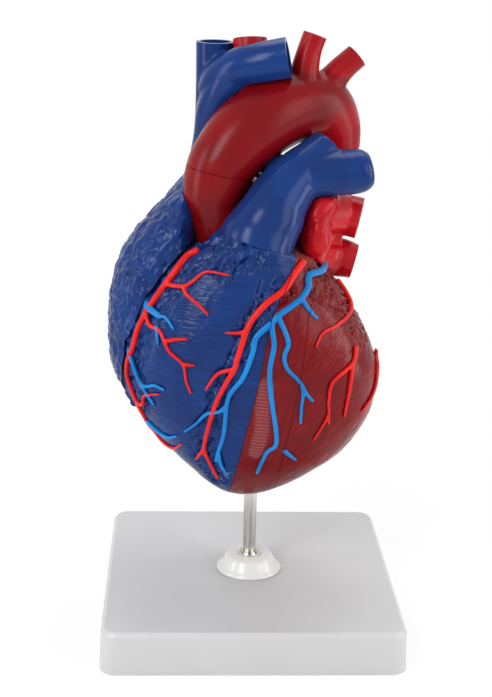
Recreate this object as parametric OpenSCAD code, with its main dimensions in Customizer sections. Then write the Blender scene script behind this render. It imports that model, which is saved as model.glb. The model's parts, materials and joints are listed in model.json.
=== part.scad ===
// Anatomy model of a human heart, about one and a half times life size, on a rod and a square stand.
// The origin is the centre of the stand's underside, the rod stands on the Z axis, the front faces -Y.

/* [Stand] */
// Side of the square stand
base_side = 180; // [150:1:220]
// Height of the stand
base_height = 26; // [20:0.5:34]
// Wall of the hollow stand
base_wall = 3; // [2:0.25:5]
// Radius of the stand's upright corners
base_corner = 10; // [4:0.5:20]
// How much narrower each side of the top is than the foot
base_draft = 0.9; // [0.2:0.1:2]
// Thickness of the ribs under the stand
rib_wall = 2.4; // [1.5:0.1:4]
// Diameter of the socket under the stand that guides the rod
guide_d = 16; // [14:0.5:24]
// Length of that socket below the top of the stand
guide_length = 14; // [10:0.5:16]

/* [Boss] */
// Diameter of the white boss where it lies on the stand
boss_foot_d = 41; // [36:0.5:56]
// Diameter of the boss at its top
boss_top_d = 29; // [20:0.5:34]
// Height of the boss above the stand
boss_height = 10; // [7:0.25:16]
// Length of the boss's spigot in the stand
spigot_length = 2; // [1.5:0.1:2.8]

/* [Rod] */
// Diameter of the rod
rod_d = 8; // [6:0.1:10]
// Free rod between the boss and the heart
rod_free = 44; // [25:1:70]
// Length of the rod inside the heart
rod_grip = 70; // [40:1:76]
// Radial clearance of the rod in its bores
rod_clearance = 0.05; // [0.02:0.01:0.1]
// Wall of the socket in the heart
socket_wall = 1.8; // [1:0.1:2.2]
// Diameter of the toothed lock washers
washer_d = 15; // [13.5:0.1:16]
// Thickness of the lock washers
washer_t = 0.8; // [0.5:0.1:1.2]

/* [Heart] */
// Width of the heart from atrium to left ventricle
heart_width = 166; // [154:1:178]
// Depth of the ventricles from front to back
heart_depth = 107; // [98:1:116]
// Height of the heart from apex to the top of the neck arteries
heart_height = 284; // [268:1:300]
// Wall of the right ventricle
right_wall = 6; // [5:0.25:7]
// Wall of the left ventricle
left_wall = 11; // [8:0.25:12]
// Wall of the atria
atrium_wall = 5; // [4.5:0.25:6]
// Gap at the seams between pieces that come apart
seam = 0.3; // [0.15:0.05:0.5]
// Half thickness of the septum about the rod
septum_half = 11; // [8.5:0.25:12]

/* [Vessels] */
// Wall of the great vessels
vessel_wall = 5; // [4:0.25:6]
// Wall of the veins
vein_wall = 2.5; // [2:0.1:3]
// Wall of the cut branches of the arteries
branch_wall = 2; // [1.5:0.1:2.8]
// Depth of the openings in the cut vessels
lumen_depth = 9; // [5:0.5:14]
// Radius of the main coronary arteries
artery_r = 1.7; // [1.2:0.1:2.2]
// Radius of the main cardiac veins
vein_r = 1.6; // [1.2:0.1:2.2]
// How far the middle of a coronary vessel stands proud of the wall it runs on
vessel_lift = 0.9; // [0:0.1:1]
// Share of its radius that a coronary branch keeps at its tip
branch_taper = 0.5; // [0.3:0.05:0.9]

/* [Magnets] */
// Diameter of the seam magnets
magnet_d = 4; // [3:0.1:4.4]
// Thickness of one seam magnet
magnet_t = 2; // [1:0.1:3]
// Gap between a magnet and its pocket
magnet_gap = 0.15; // [0.1:0.05:0.2]

/* [Hidden] */
eps = 0.01;
rod_r = rod_d / 2;
bore_r = rod_r + rod_clearance;
boss_z = base_height + boss_height;
apex_z = boss_z + rod_free;
socket_r = bore_r + socket_wall;
socket_hole_r = socket_r + 0.2;
rod_top = apex_z + rod_grip;
guide_z = base_height - base_wall - guide_length + 2;
rod_foot = guide_z - 4;
pocket_r = magnet_d / 2 + magnet_gap;

// The heart's tables and routes are written for these sizes, and move with the driving ones.
drawn_width = 166;
drawn_depth = 107;
drawn_height = 284;
drawn_apex = 80;
wide = heart_width / drawn_width;
deep = heart_depth / drawn_depth;
tall = heart_height / drawn_height;

red = [0.78, 0.10, 0.13];
dark_red = [0.54, 0.10, 0.13];
blue = [0.12, 0.25, 0.52];
artery_red = [0.90, 0.16, 0.15];
vein_blue = [0.05, 0.50, 0.80];
flesh = [0.93, 0.80, 0.70];

// ---- Smooth rows, blobs and tubes ----

// A drawn point of the heart at its real place
function fit(p) = [p.x * wide, p.y * deep, apex_z + (p.z - drawn_apex) * tall];

// A curve through a, b, c and d, at t from b to c
function between(a, b, c, d, t) =
    b + 0.5 * t * ((c - a) + t * ((2 * a - 5 * b + 4 * c - d) + t * (3 * (b - c) + d - a)));

// Rows of numbers with smooth rows between them
function smooth(rows, steps) = let (last = len(rows) - 1) concat(
    [for (i = [0 : last - 1], k = [0 : steps - 1])
        between(rows[max(i - 1, 0)], rows[i], rows[i + 1], rows[min(i + 2, last)], k / steps)],
    [rows[last]]);

// A number's power that keeps its sign
function bend(v, power) = sign(v) * pow(abs(v), power);

// One level of a blob: a row is [z, left, right, front, back] and inset moves all sides inwards
function level(row, sides, inset) = let (
        left = fit([row[1], 0, 0]).x + inset,
        right = fit([row[2], 0, 0]).x - inset,
        front = fit([0, row[3], 0]).y + inset,
        back = fit([0, row[4], 0]).y - inset,
        z = fit([0, 0, row[0]]).z)
    [for (k = [0 : sides - 1]) [
        (left + right) / 2 + (right - left) / 2 * bend(cos(360 * k / sides), squareness),
        (front + back) / 2 + (back - front) / 2 * bend(sin(360 * k / sides), squareness),
        z]];
squareness = 2 / 2.3;

// A closed skin over rings of equal count
module skin(rings) {
    sides = len(rings[0]);
    last = len(rings) - 1;
    points = [for (ring = rings, p = ring) p];
    walls = [for (i = [0 : last - 1], k = [0 : sides - 1]) let (m = (k + 1) % sides)
        [i * sides + k, (i + 1) * sides + k, (i + 1) * sides + m, i * sides + m]];
    ends = [[for (k = [0 : sides - 1]) k], [for (k = [sides - 1 : -1 : 0]) last * sides + k]];
    triangles = [for (w = walls, half = [[0, 1, 2], [0, 2, 3]]) [w[half[0]], w[half[1]], w[half[2]]]];
    polyhedron(points, concat(triangles, ends), convexity = 8);
}

module blob(rows, sides = 40, steps = 2, inset = 0) {
    skin([for (row = smooth(rows, steps)) level(row, sides, inset)]);
}

// The rows of a table whose height lies from low to high
function part_of(rows, low, high) = [for (row = rows) if (row[0] >= low && row[0] <= high) row];

function unit(v) = v / norm(v);

// Rings along a route of [x, y, z, radius] points; across is any direction the route never takes
function tube_rings(route, sides, across, less) = let (last = len(route) - 1)
    [for (i = [0 : last]) let (
            here = fit(route[i]),
            along = unit(fit(route[min(i + 1, last)]) - fit(route[max(i - 1, 0)])),
            u = unit(cross(across, along)),
            v = cross(along, u))
        [for (k = [0 : sides - 1])
            here + (route[i][3] - less) * (cos(360 * k / sides) * u + sin(360 * k / sides) * v)]];

// A route whose last point lies further on, for a bore that leaves its vessel open
function past_end(route) = let (last = len(route) - 1)
    [for (i = [0 : last]) i < last ? route[i] : route[i] + (route[i] - route[i - 1]) * 0.3];

module tube(route, sides = 20, steps = 3, across = [0, 1, 0], less = 0) {
    skin(tube_rings(smooth(route, steps), sides, across, less));
}

// A moulded form: everything in it becomes one closed surface
module moulded() resize([0, 0, 0]) children();

// A front outline of [x, z] points, cut straight through from one depth to another
module through(outline, front = -200, back = 200, grow = 0) {
    translate([0, back, 0]) rotate([90, 0, 0]) linear_extrude(back - front)
        offset(delta = grow) polygon([for (p = outline) [fit([p.x, 0, 0]).x, fit([0, 0, p.y]).z]]);
}

// ---- The heart's outlines, levels and routes, in drawn millimetres ----

// Both ventricles: [z, left, right, front, back]
ventricles = [
    [80, -14, 4, -10, 7], [83.5, -21, 13, -18, 14], [90, -30, 26, -26, 22], [100, -40, 41, -35, 30],
    [111, -51, 55, -43, 38], [123, -61, 64.5, -48, 43], [137, -70, 71.5, -52, 46],
    [151, -76, 74, -54, 49], [165, -80, 74, -56, 50], [180, -80, 69, -57, 49],
    [192, -76, 63, -57, 47], [205, -70, 56, -55, 44], [218, -62, 46, -52, 39],
    [230, -53, 36, -48, 31], [242, -41, 27, -45, 20], [254, -25, 16, -38, 2]];
right_atrium = [
    [134, -73, -58, -6, 12], [137, -76, -52, -14, 22], [146, -79.5, -45, -22, 30],
    [157, -85, -40, -26, 36], [170, -88, -36, -28, 39], [190, -88.5, -33, -29, 41],
    [205, -87.5, -30, -29, 42], [219, -84.5, -27, -29, 42], [230, -80.5, -25, -28, 42],
    [241, -73.5, -23, -26, 42], [252, -63.5, -20, -22, 42], [263, -53, -18, -14, 42],
    [272, -45, -17, 2, 42], [280, -41.5, -16, 15, 42]];
left_atrium = [
    [199, -2, 26, 14, 30], [203, -12, 36, 10, 38], [212, -20, 44, 8, 46], [225, -24, 48, 7, 51],
    [240, -24, 50, 7, 53], [252, -22, 48, 9, 52], [262, -18, 42, 14, 48], [268, -10, 33, 20, 42],
    [270, 0, 24, 26, 37]];
auricle = [
    [222, 31, 38, -14, -4], [226, 28, 41, -20, 2], [236, 25, 43, -24, 8], [246, 24, 44, -25, 12],
    [255, 26, 44, -23, 12], [262, 30, 42, -17, 8], [264.5, 33, 39, -12, 4]];

// Front outlines of [x, z] points: the seam left and right of the red strip, and the groove
// between the right atrium and the right ventricle, all from the top down
left_of_strip = [[21, 236], [14, 220], [6, 202], [2, 175], [-3, 150], [-8, 124], [-13, 93], [-17, 60]];
right_of_strip = [[33, 222], [28, 205], [24, 169], [17, 126], [14, 100], [11, 60]];
atrium_groove = [[-24, 252], [-34, 242], [-45, 235], [-54, 225], [-61, 215], [-66, 207],
    [-72, 192], [-76, 179], [-79, 164], [-79, 149], [-73, 138], [-74, 132], [-110, 126]];
right_wall_outline = concat(atrium_groove, [[-110, 60]],
    [for (i = [len(left_of_strip) - 1 : -1 : 0]) left_of_strip[i]]);
left_wall_outline = concat(right_of_strip, [[120, 60], [120, 222]]);
below_trunk_seam = [[-110, 276.8], [110, 208.3], [110, 50], [-110, 50]];

right_split_y = -6;      // the right ventricle's wall ends here
left_split_y = 8;        // the left ventricle's wall ends here
right_atrium_split_x = -28;
left_atrium_split_y = 30;
cava_seam_z = 280;       // the superior vena cava stands on the atrium here
aorta_seam = [-23, -1.5, 279.3];
aorta_seam_tilt = 10.8;

aortic_root_route = [[-12, 0, 206, 14.5], [-16, 1, 222, 15.5], [-21.5, 1, 242, 17],
    [-25.8, -0.5, 260, 17.6], [-25.5, -1.5, 270, 18.6], [-22.8, -1.5, 281, 19.5], [-17, 0, 290, 20.6]];
outflow_route = [[28, 2, 170, 9], [10, 1, 190, 9.5], [-4, 1, 202, 10], [-13, 0.5, 213, 10]];
arch_route = [[-25.5, -1.5, 270, 18.6], [-22.8, -1.5, 281, 19.5], [-17, 0, 290, 20.6],
    [-8, 4, 300, 21.8], [5, 9, 309.5, 22], [21, 17, 315.5, 21.5], [36, 25, 314, 20],
    [43.5, 30, 303, 18.5], [45, 32, 289, 17.5]];
trunk_route = [[-3, -22, 232, 23], [-1, -22, 242, 22.8], [3, -21, 250, 20.6], [7, -19.5, 257, 18.6],
    [11, -16.5, 265, 17], [17, -12.5, 273, 15.6], [24, -8.5, 280.5, 14.5], [32, -4, 287, 12.8],
    [40, 1, 293.5, 11.8]];
left_artery_route = [[20, -12, 276, 13], [31, -9, 279, 13.5], [42, -7, 280, 13.5],
    [54, -5, 280.6, 13.2], [60.5, -4.5, 281.6, 12.6], [64.5, -4, 282.4, 10]];
right_artery_route = [[12, -4, 280, 9.5], [8, 10, 280, 9.5], [0, 24, 281.5, 9], [-10, 38, 285, 8.5],
    [-22, 46.5, 288, 8.5], [-35, 48.5, 288, 8.5]];
cava_route = [[-28, 29.5, 275, 12.8], [-28, 29.5, 283, 12.2], [-26.5, 29, 300, 11.3],
    [-26, 28, 325, 11.2], [-26, 27, 351, 11.4]];
brachiocephalic_vein_route = [[-27, 25, 322, 9.5], [-22, 17, 331, 11], [-12, 8, 338, 11.5],
    [2, 2, 342, 11.6], [15.5, 0, 344.8, 11.8]];
trunk_artery_route = [[-4, 9, 318, 11], [-5, 15, 330, 10], [-6, 20, 353.5, 10]];
carotid_route = [[25, 12, 322, 11], [26, 13, 336, 8.5], [28.5, 14, 348, 7.2], [31.5, 14, 357, 7.1]];
subclavian_route = [[33, 20, 319, 12], [42, 22, 329, 9.2], [49, 23.5, 337, 7.8], [57.5, 25, 344.5, 7.4]];
left_veins_routes = [
    [[32, 19, 252, 11], [42, 16, 253, 12.4], [52, 13, 252, 12.4], [62, 11, 250, 12.4]],
    [[32, 19, 226, 10], [42, 16, 226, 11.6], [52, 14, 225, 11.8], [60, 13, 223, 10.5]]];
right_veins_routes = [
    [[-4, 37, 250, 8], [-22, 50, 251, 8], [-36, 55, 251, 8.2], [-45, 56, 250, 8.2]],
    [[-4, 37, 231, 8], [-22, 50, 232, 8], [-40, 55, 232, 8.2], [-50, 56, 230, 8.2]]];
lower_cava_route = [[-58, 36, 186, 9], [-60, 42, 170, 11], [-62, 48, 152, 11.5], [-62, 49, 132, 11.5]];

// Coronary routes on the front of the ventricles, of [x, z] points
right_artery_main = [[-34, 238], [-42, 233], [-50, 223], [-53, 219], [-61, 207], [-65, 200],
    [-69, 191], [-72, 180], [-75, 170], [-75, 159], [-70, 144]];
right_artery_branches = [
    [[-53, 219], [-43, 220], [-38, 223], [-30, 229], [-17, 228]],
    [[-43, 220], [-41, 216], [-34, 211], [-29, 206]],
    [[-64, 201], [-62, 196], [-56, 194], [-51, 184], [-43, 177], [-41, 167], [-38, 159]],
    [[-53, 189], [-47, 191], [-40, 192]],
    [[-43, 177], [-36, 177]],
    [[-70, 144], [-66, 145], [-65, 152], [-56, 156]],
    [[-70, 144], [-65, 134], [-59, 121], [-49, 117], [-43, 124]]];
left_artery_main = [[25, 234], [20, 229], [13, 220], [3, 213], [-6, 202], [-12, 184], [-14, 176],
    [-19, 166], [-24, 154], [-28, 138], [-30, 123], [-27, 114], [-21, 99]];
left_artery_branches = [
    [[-8, 198], [-13, 197], [-20, 197]],
    [[-14, 176], [-23, 173], [-28, 166], [-30, 162]],
    [[-30, 123], [-35, 113]]];
strip_vein_routes = [
    [[36, 226], [28, 226], [27, 220], [23, 215], [17, 211], [7, 203], [8, 190], [6, 174],
        [8, 155], [11, 137], [11, 127], [6, 122], [1, 106]],
    [[23, 215], [29, 207], [33, 203]],
    [[10, 206], [16, 192], [14, 184], [16, 176], [25, 165], [25, 151], [25, 141]],
    [[25, 165], [27, 161], [32, 155]],
    [[16, 124], [24, 116]]];
right_wall_vein_routes = [
    [[7, 203], [-2, 195], [-4, 186], [-9, 171], [-17, 158], [-19, 135], [-22, 121], [-23, 114]],
    [[-22, 121], [-20, 112], [-16, 103]],
    [[-18, 153], [-22, 149], [-29, 147], [-35, 140], [-42, 133]],
    [[-66, 208], [-58, 202], [-53, 202], [-48, 196]],
    [[-58, 197], [-57, 186]],
    [[-75, 180], [-67, 160], [-59, 161], [-53, 159]],
    [[-67, 160], [-65, 156], [-59, 147]],
    [[-64, 132], [-56, 127], [-51, 126], [-46, 129]]];
side_artery_routes = [
    [[47, 217], [55, 204], [45, 198], [36, 195], [32, 187]],
    [[57, 184], [55, 175], [43, 166], [41, 154], [41, 145], [33, 129]],
    [[41, 145], [42, 139]],
    [[55, 175], [53, 156], [51, 142]],
    [[73, 174], [71, 153], [62, 142]]];
rear_vessel_routes = [
    [[-44, 196], [-24, 200], [0, 200], [24, 200], [42, 196]],
    [[-12, 199], [-8, 176], [-4, 150], [2, 124], [4, 104]],
    [[22, 200], [28, 176], [32, 150], [28, 128]],
    [[44, 196], [52, 176], [54, 156]]];

// Centres and tilts of the openings between atria and ventricles
tricuspid_at = [-40, 6, 226];
tricuspid_turn = [0, -24, 0];
tricuspid_r = 15;
mitral_at = [26, 20, 211];
mitral_turn = [-18, 14, 0];
mitral_r = 11;
aortic_valve_at = [-13, 0.5, 212];
aortic_valve_turn = [0, -10, 0];
aortic_bore_r = 11;
pulmonary_valve_at = [-3, -24, 240];
pulmonary_valve_turn = [0, 17.3, 0];
pulmonary_bore_r = 15;

// Seam magnets, of [x, y, z], each on its seam
right_wall_magnets_at = [[-49.5, -6, 110], [-8, -6, 140], [12, -6, 225]];
left_wall_magnets_at = [[53, 8, 114], [52.5, 8, 198]];
right_atrium_magnets_at = [[-28, 28, 240], [-28, 37.5, 262]];
left_atrium_magnets_at = [[47.2, 30, 236], [-21, 30, 240]];
aorta_magnet_spread = 16.9;

// ---- The stand ----

module rounded_plate(side, corner, height, draft = 0) {
    hull() for (x = [-1, 1], y = [-1, 1])
        translate([x * (side / 2 - corner), y * (side / 2 - corner), 0])
            cylinder(h = height, r1 = corner, r2 = corner - draft, $fn = 32);
}

module stand_base() color([0.80, 0.80, 0.81]) {
    lip = 2.5;
    difference() {
        union() {
            difference() {
                hull() {
                    rounded_plate(base_side, base_corner, base_height - lip, base_draft * 0.8);
                    translate([0, 0, base_height - lip])
                        rounded_plate(base_side - 2 * base_draft, base_corner, lip, lip * 0.8);
                }
                translate([0, 0, -eps])
                    rounded_plate(base_side - 2 * base_wall, base_corner - base_wall + 1,
                        base_height - base_wall, base_draft);
            }
            for (turn = [0, 90]) rotate(turn)
                translate([-base_side / 2 + base_wall, -rib_wall / 2, 4])
                    cube([base_side - 2 * base_wall, rib_wall, base_height - base_wall - 4 + eps]);
            translate([0, 0, guide_z]) cylinder(h = base_height - guide_z - eps, d = guide_d, $fn = 48);
        }
        translate([0, 0, rod_foot - 1]) cylinder(h = base_height, r = bore_r, $fn = 48);
        translate([0, 0, 3]) cylinder(h = guide_z - 3, d = washer_d + 2, $fn = 48);
        translate([0, 0, base_height - spigot_length - 0.1])
            cylinder(h = base_height, d = guide_d - 3, $fn = 48);
    }
}

module rod_boss() color([0.96, 0.96, 0.96]) {
    foot = boss_foot_d / 2;
    top = boss_top_d / 2;
    rotate_extrude($fn = 72) polygon([
        [bore_r, base_height - spigot_length], [(guide_d - 3) / 2 - 0.05, base_height - spigot_length],
        [(guide_d - 3) / 2 - 0.05, base_height], [foot, base_height], [foot, base_height + 1],
        [foot - (foot - top) * 0.35, base_height + boss_height * 0.28],
        [foot - (foot - top) * 0.68, base_height + boss_height * 0.55],
        [foot - (foot - top) * 0.9, base_height + boss_height * 0.8],
        [top - 1, boss_z - 0.3], [top - 2, boss_z], [bore_r, boss_z]]);
}

module stand_rod() color([0.72, 0.70, 0.66]) {
    translate([0, 0, rod_foot]) cylinder(h = rod_top - rod_foot - 0.9, r = rod_r, $fn = 48);
    translate([0, 0, rod_top - 0.9]) cylinder(h = 0.9, r1 = rod_r, r2 = rod_r - 0.9, $fn = 48);
}

// A push-on washer: a ring with a raised cone of teeth that grips the rod
module lock_washer() {
    difference() {
        union() {
            cylinder(h = washer_t, d = washer_d, $fn = 48);
            cylinder(h = washer_t * 2.5, r = rod_r + 1.6, $fn = 48);
        }
        translate([0, 0, -1]) cylinder(h = 4 + washer_t * 3, r = rod_r + 0.02, $fn = 48);
        for (k = [0 : 7]) rotate(k * 45) translate([rod_r - 1, -0.45, washer_t * 0.6])
            cube([3.4, 0.9, washer_t * 3]);
    }
}

module upper_lock_washer() color([0.62, 0.60, 0.57]) translate([0, 0, boss_z + 0.1]) lock_washer();

module lower_lock_washer() color([0.62, 0.60, 0.57])
    translate([0, 0, guide_z - 0.3]) mirror([0, 0, 1]) lock_washer();

// ---- Cutting shapes of the heart ----

module ventricle_solid(inset = 0) {
    intersection() {
        blob(ventricles, 40, 1, inset);
        through(below_trunk_seam);
    }
}

// The chamber of the right ventricle reaches under the front of the strip, and the septum behind
module right_chamber() {
    rows = part_of(ventricles, 96, 245);
    intersection() {
        blob(rows, 28, 1, right_wall);
        union() {
            through([[-120, 270], [-septum_half / wide, 270], [-septum_half / wide, 50], [-120, 50]]);
            through(right_wall_outline, -200, right_split_y - 8, -right_wall);
        }
    }
}

// The chamber of the left ventricle lies right of the septum
module left_chamber_solid() intersection() {
    blob(part_of(ventricles, 99, 220), 24, 1, left_wall);
    through([[septum_half / wide, 300], [150, 300], [150, 50], [septum_half / wide, 50]]);
}

// The way from that chamber to the aorta
module outflow() tube(outflow_route, 16, 1);

module valve_place(at, turn) translate(fit(at)) rotate(turn) children();

module valve_bores() {
    valve_place(tricuspid_at, tricuspid_turn)
        translate([0, 0, -16]) cylinder(h = 40, r = tricuspid_r, $fn = 32);
    valve_place(mitral_at, mitral_turn) translate([0, 0, -7]) cylinder(h = 20, r = mitral_r, $fn = 32);
    valve_place(aortic_valve_at, aortic_valve_turn)
        translate([0, 0, -12]) cylinder(h = 44, r = aortic_bore_r, $fn = 32);
    valve_place(pulmonary_valve_at, pulmonary_valve_turn)
        translate([0, 0, -16]) cylinder(h = 30, r = pulmonary_bore_r, $fn = 32);
}

module magnet_row(places, turn, shift, r, h) {
    for (p = places) translate(fit(p)) rotate(turn) translate([0, 0, shift]) cylinder(h = h, r = r, $fn = 24);
}

module aorta_seam_place() translate(fit(aorta_seam)) rotate([0, aorta_seam_tilt, 0]) children();

module aorta_magnets(shift, r, h) {
    aorta_seam_place() for (side = [-1, 1])
        translate([side * aorta_magnet_spread, 0, shift]) cylinder(h = h, r = r, $fn = 24);
}

module heart_body_solid() {
    difference() {
        ventricle_solid();
        through(right_wall_outline, -200, right_split_y * deep);
        through(left_wall_outline, -200, left_split_y * deep);
        right_chamber();
        left_chamber_solid();
        outflow();
        valve_bores();
        cylinder(h = rod_top + socket_wall + 0.2, r = socket_hole_r, $fn = 32);
        magnet_row(right_wall_magnets_at, [-90, 0, 0], -1, pocket_r, magnet_t + 1.1);
        magnet_row(left_wall_magnets_at, [-90, 0, 0], -1, pocket_r, magnet_t + 1.1);
    }
}

septum_left = [[-16, 280], [-16, 150], [-17, 93], [-21, 60]];
septum_right = [[13, 60], [16, 100], [19, 126], [26, 169], [30, 205], [35, 222], [36, 280]];

// ---- The heart body on the rod ----

module rod_socket() color([0.70, 0.70, 0.72]) {
    difference() {
        translate([0, 0, apex_z + 2]) cylinder(h = rod_top + socket_wall - apex_z - 2, r = socket_r, $fn = 48);
        translate([0, 0, apex_z]) cylinder(h = rod_top - apex_z + 0.1, r = bore_r, $fn = 48);
    }
}

module septum() color(dark_red) moulded() intersection() {
    heart_body_solid();
    through(concat(septum_left, septum_right));
}

module right_ventricle_rear_wall() color(blue) moulded() intersection() {
    heart_body_solid();
    through(concat(septum_left, [[-120, 60], [-120, 280]]));
}

module left_ventricle_rear_wall() color(dark_red) moulded() intersection() {
    heart_body_solid();
    through(concat(septum_right, [[120, 280], [120, 60]]));
}

module aorta_root_space(grow = 0) tube(aortic_root_route, 20, 2, [0, 1, 0], -grow);

module right_atrium_shell() {
    difference() {
        blob(right_atrium, 30, 1);
        blob(part_of(right_atrium, 140, 275), 20, 1, atrium_wall);
        translate(fit([-28, 29.5, 262])) cylinder(h = 40, r = 8.5, $fn = 24);
        ventricle_solid(-seam);
        through(right_wall_outline, -200, right_split_y * deep, seam);
        aorta_root_space(seam);
        arch_solid(-seam);
    }
}

module right_atrium_inner_wall() color(blue) moulded() difference() {
    right_atrium_shell();
    translate(fit([right_atrium_split_x - 200, -100, 100])) cube([200 * wide, 200, 220]);
    magnet_row(right_atrium_magnets_at, [0, 90, 0], -1, pocket_r, magnet_t + 1.1);
}

module right_atrium_outer_wall() color(blue) moulded() difference() {
    right_atrium_shell();
    translate(fit([right_atrium_split_x, -100, 100]) - [seam, 0, 0]) cube([200, 200, 220]);
    magnet_row(right_atrium_magnets_at, [0, -90, 0], seam - 1, pocket_r, magnet_t + 1.1);
    tube(past_end(lower_cava_route), 14, 1, [1, 0, 0], vein_wall);
}

module left_atrium_shell() {
    difference() {
        blob(left_atrium, 28, 1);
        blob(part_of(left_atrium, 203, 262), 20, 1, atrium_wall);
        ventricle_solid();
        blob(right_atrium, 30, 1, -seam);
        aorta_root_space(seam);
        valve_place(mitral_at, mitral_turn) cylinder(h = 20, r = mitral_r, $fn = 32);
    }
}

module left_atrium_front_wall() color(red) moulded() difference() {
    left_atrium_shell();
    translate(fit([-100, left_atrium_split_y, 100])) cube([200, 200, 220]);
    magnet_row(left_atrium_magnets_at, [90, 0, 0], -1, pocket_r, magnet_t + 1.1);
    for (route = left_veins_routes) tube(route, 12, 1, [0, 1, 0], vein_wall);
}

module left_auricle() color(red) moulded() difference() {
    blob(auricle, 20, 1);
    ventricle_solid(-seam);
    blob(left_atrium, 28, 1);
    for (route = left_veins_routes) tube(route, 14, 2);
    for (lift = [0, 10]) translate([0, 0, lift]) trunk_solid(-seam);
    tube(left_artery_route, 20, 1, [0, 1, 0], -seam);
}

module left_pulmonary_veins() color(red) moulded() difference() {
    for (route = left_veins_routes) tube(route, 14, 2);
    for (route = left_veins_routes) tube(past_end(route), 12, 1, [0, 1, 0], vein_wall);
    blob(left_atrium, 28, 1);
    ventricle_solid(-seam);
}

module aortic_root() color(dark_red) moulded() difference() {
    aorta_root_space();
    tube(aortic_root_route, 16, 1, [0, 1, 0], vessel_wall);
    ventricle_solid();
    aorta_seam_place() translate([-50, -50, 0]) cube(100);
    aorta_magnets(-magnet_t - 0.1, pocket_r, magnet_t + 1);
}

// A ring with cusps that bulge towards the flow and meet in the middle
module valve(r, cusps, drop, lip = 1.4) {
    difference() {
        cylinder(h = 2.2, r = r, $fn = 48);
        translate([0, 0, -1]) cylinder(h = 5, r = r - lip, $fn = 48);
    }
    for (k = [0 : cusps - 1]) rotate(360 * k / cusps + 20) hull() {
        rotate(-170 / cusps) translate([r - lip / 2, 0, 0.6]) sphere(r = 0.6, $fn = 8);
        rotate(170 / cusps) translate([r - lip / 2, 0, 0.6]) sphere(r = 0.6, $fn = 8);
        translate([r * 0.72, 0, -drop]) sphere(r = 0.9, $fn = 8);
        translate([r * 0.12, 0, -drop * 0.6]) sphere(r = 0.6, $fn = 8);
    }
}

module aortic_valve() color(flesh)
    valve_place(aortic_valve_at, aortic_valve_turn) translate([0, 0, 4]) valve(aortic_bore_r - 0.1, 3, 6);

module pulmonary_valve() color(flesh) valve_place(pulmonary_valve_at, pulmonary_valve_turn)
    translate([0, 0, -4]) valve(pulmonary_bore_r - 0.1, 3, 7);

module tricuspid_valve() color(flesh)
    valve_place(tricuspid_at, tricuspid_turn) translate([0, 0, -5]) valve(tricuspid_r - 0.1, 3, 15);

module mitral_valve() color(flesh)
    valve_place(mitral_at, mitral_turn) translate([0, 0, 0]) valve(mitral_r - 0.1, 2, 13);

// A muscle that rises from the chamber's wall to a point, with cords from its tip
module papillary(from, to, cord_ends, base_r) {
    skin(tube_rings([
        [from.x, from.y, from.z, base_r],
        concat(from + (to - from) * 0.4, base_r * 0.8),
        concat(from + (to - from) * 0.85, base_r * 0.55),
        concat(to, base_r * 0.2)], 12, [1, 0.2, 0], 0));
    for (end = cord_ends)
        skin(tube_rings([concat(from + (to - from) * 0.9, 0.5), concat(end, 0.5)], 5, [1, 0.2, 0], 0));
}

module right_papillary_muscles() color(flesh) moulded() intersection() {
    right_chamber();
    union() {
        papillary([-46, 40, 138], [-42, 20, 176], [[-46, 10, 203], [-38, 12, 204]], 7);
        papillary([-24, 42, 128], [-27, 24, 168], [[-32, 10, 205], [-30, 14, 206]], 6);
    }
}

module left_papillary_muscles() color(flesh) moulded() intersection() {
    left_chamber_solid();
    union() {
        papillary([30, 38, 130], [28, 22, 172], [[24, 18, 196], [30, 16, 196]], 8);
        papillary([52, 34, 136], [40, 18, 174], [[34, 20, 197], [30, 24, 197]], 7);
    }
}

// A vessel on the ventricles: each [x, z] point lies on their front, or on their back
function depth_at(x, z, back) = let (
        i = max([for (k = [0 : len(ventricles) - 2]) if (ventricles[k][0] <= z) k]),
        t = (z - ventricles[i][0]) / (ventricles[i + 1][0] - ventricles[i][0]),
        row = ventricles[i] + t * (ventricles[i + 1] - ventricles[i]),
        u = min(abs(2 * x - row[1] - row[2]) / (row[2] - row[1]), 0.999),
        share = pow(1 - pow(u, 2 / squareness), squareness / 2))
    (row[3] + row[4]) / 2 + (back ? share : -share) * (row[4] - row[3]) / 2;

module vessel(route, r, tip = branch_taper, back = false, steps = 1) {
    last = len(route) - 1;
    drawn = smooth([for (i = [0 : last]) [route[i].x, route[i].y, r * (1 - (1 - tip) * i / last)]], steps);
    skin(tube_rings([for (p = drawn)
        [p.x, depth_at(p.x, p.y, back) + (back ? vessel_lift : -vessel_lift), p.y, p[2]]],
        6, [0, 1, 0], 0));
}

module left_coronary_artery() color(artery_red) moulded() intersection() {
    vessel(left_artery_main, artery_r * 1.2, 0.6, false, 2);
    difference() {
        through([[-120, 300], [120, 300], [120, 50], [-120, 50]]);
        through(right_wall_outline, -200, right_split_y, 0);
        through(left_wall_outline, -200, left_split_y, 0);
    }
}

module great_cardiac_vein() color(vein_blue) moulded() difference() {
    for (route = strip_vein_routes) vessel(route, vein_r);
    through(right_wall_outline, -200, right_split_y, 0);
    through(left_wall_outline, -200, left_split_y, 0);
}

module rear_coronary_vessels() color(vein_blue) moulded()
    for (route = rear_vessel_routes) vessel(route, vein_r * 1.2, branch_taper, true);

module heart_body_magnets() color("silver") {
    magnet_row(right_wall_magnets_at, [-90, 0, 0], 0.05, magnet_d / 2, magnet_t - 0.05);
    magnet_row(left_wall_magnets_at, [-90, 0, 0], 0.05, magnet_d / 2, magnet_t - 0.05);
    magnet_row(right_atrium_magnets_at, [0, 90, 0], 0.05, magnet_d / 2, magnet_t - 0.05);
    magnet_row(left_atrium_magnets_at, [90, 0, 0], 0.05, magnet_d / 2, magnet_t - 0.05);
    aorta_magnets(-magnet_t, magnet_d / 2, magnet_t - 0.05);
}

// ---- The right ventricle's front wall ----

module right_wall_region() through(right_wall_outline, -200, right_split_y * deep - seam, -seam);

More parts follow.
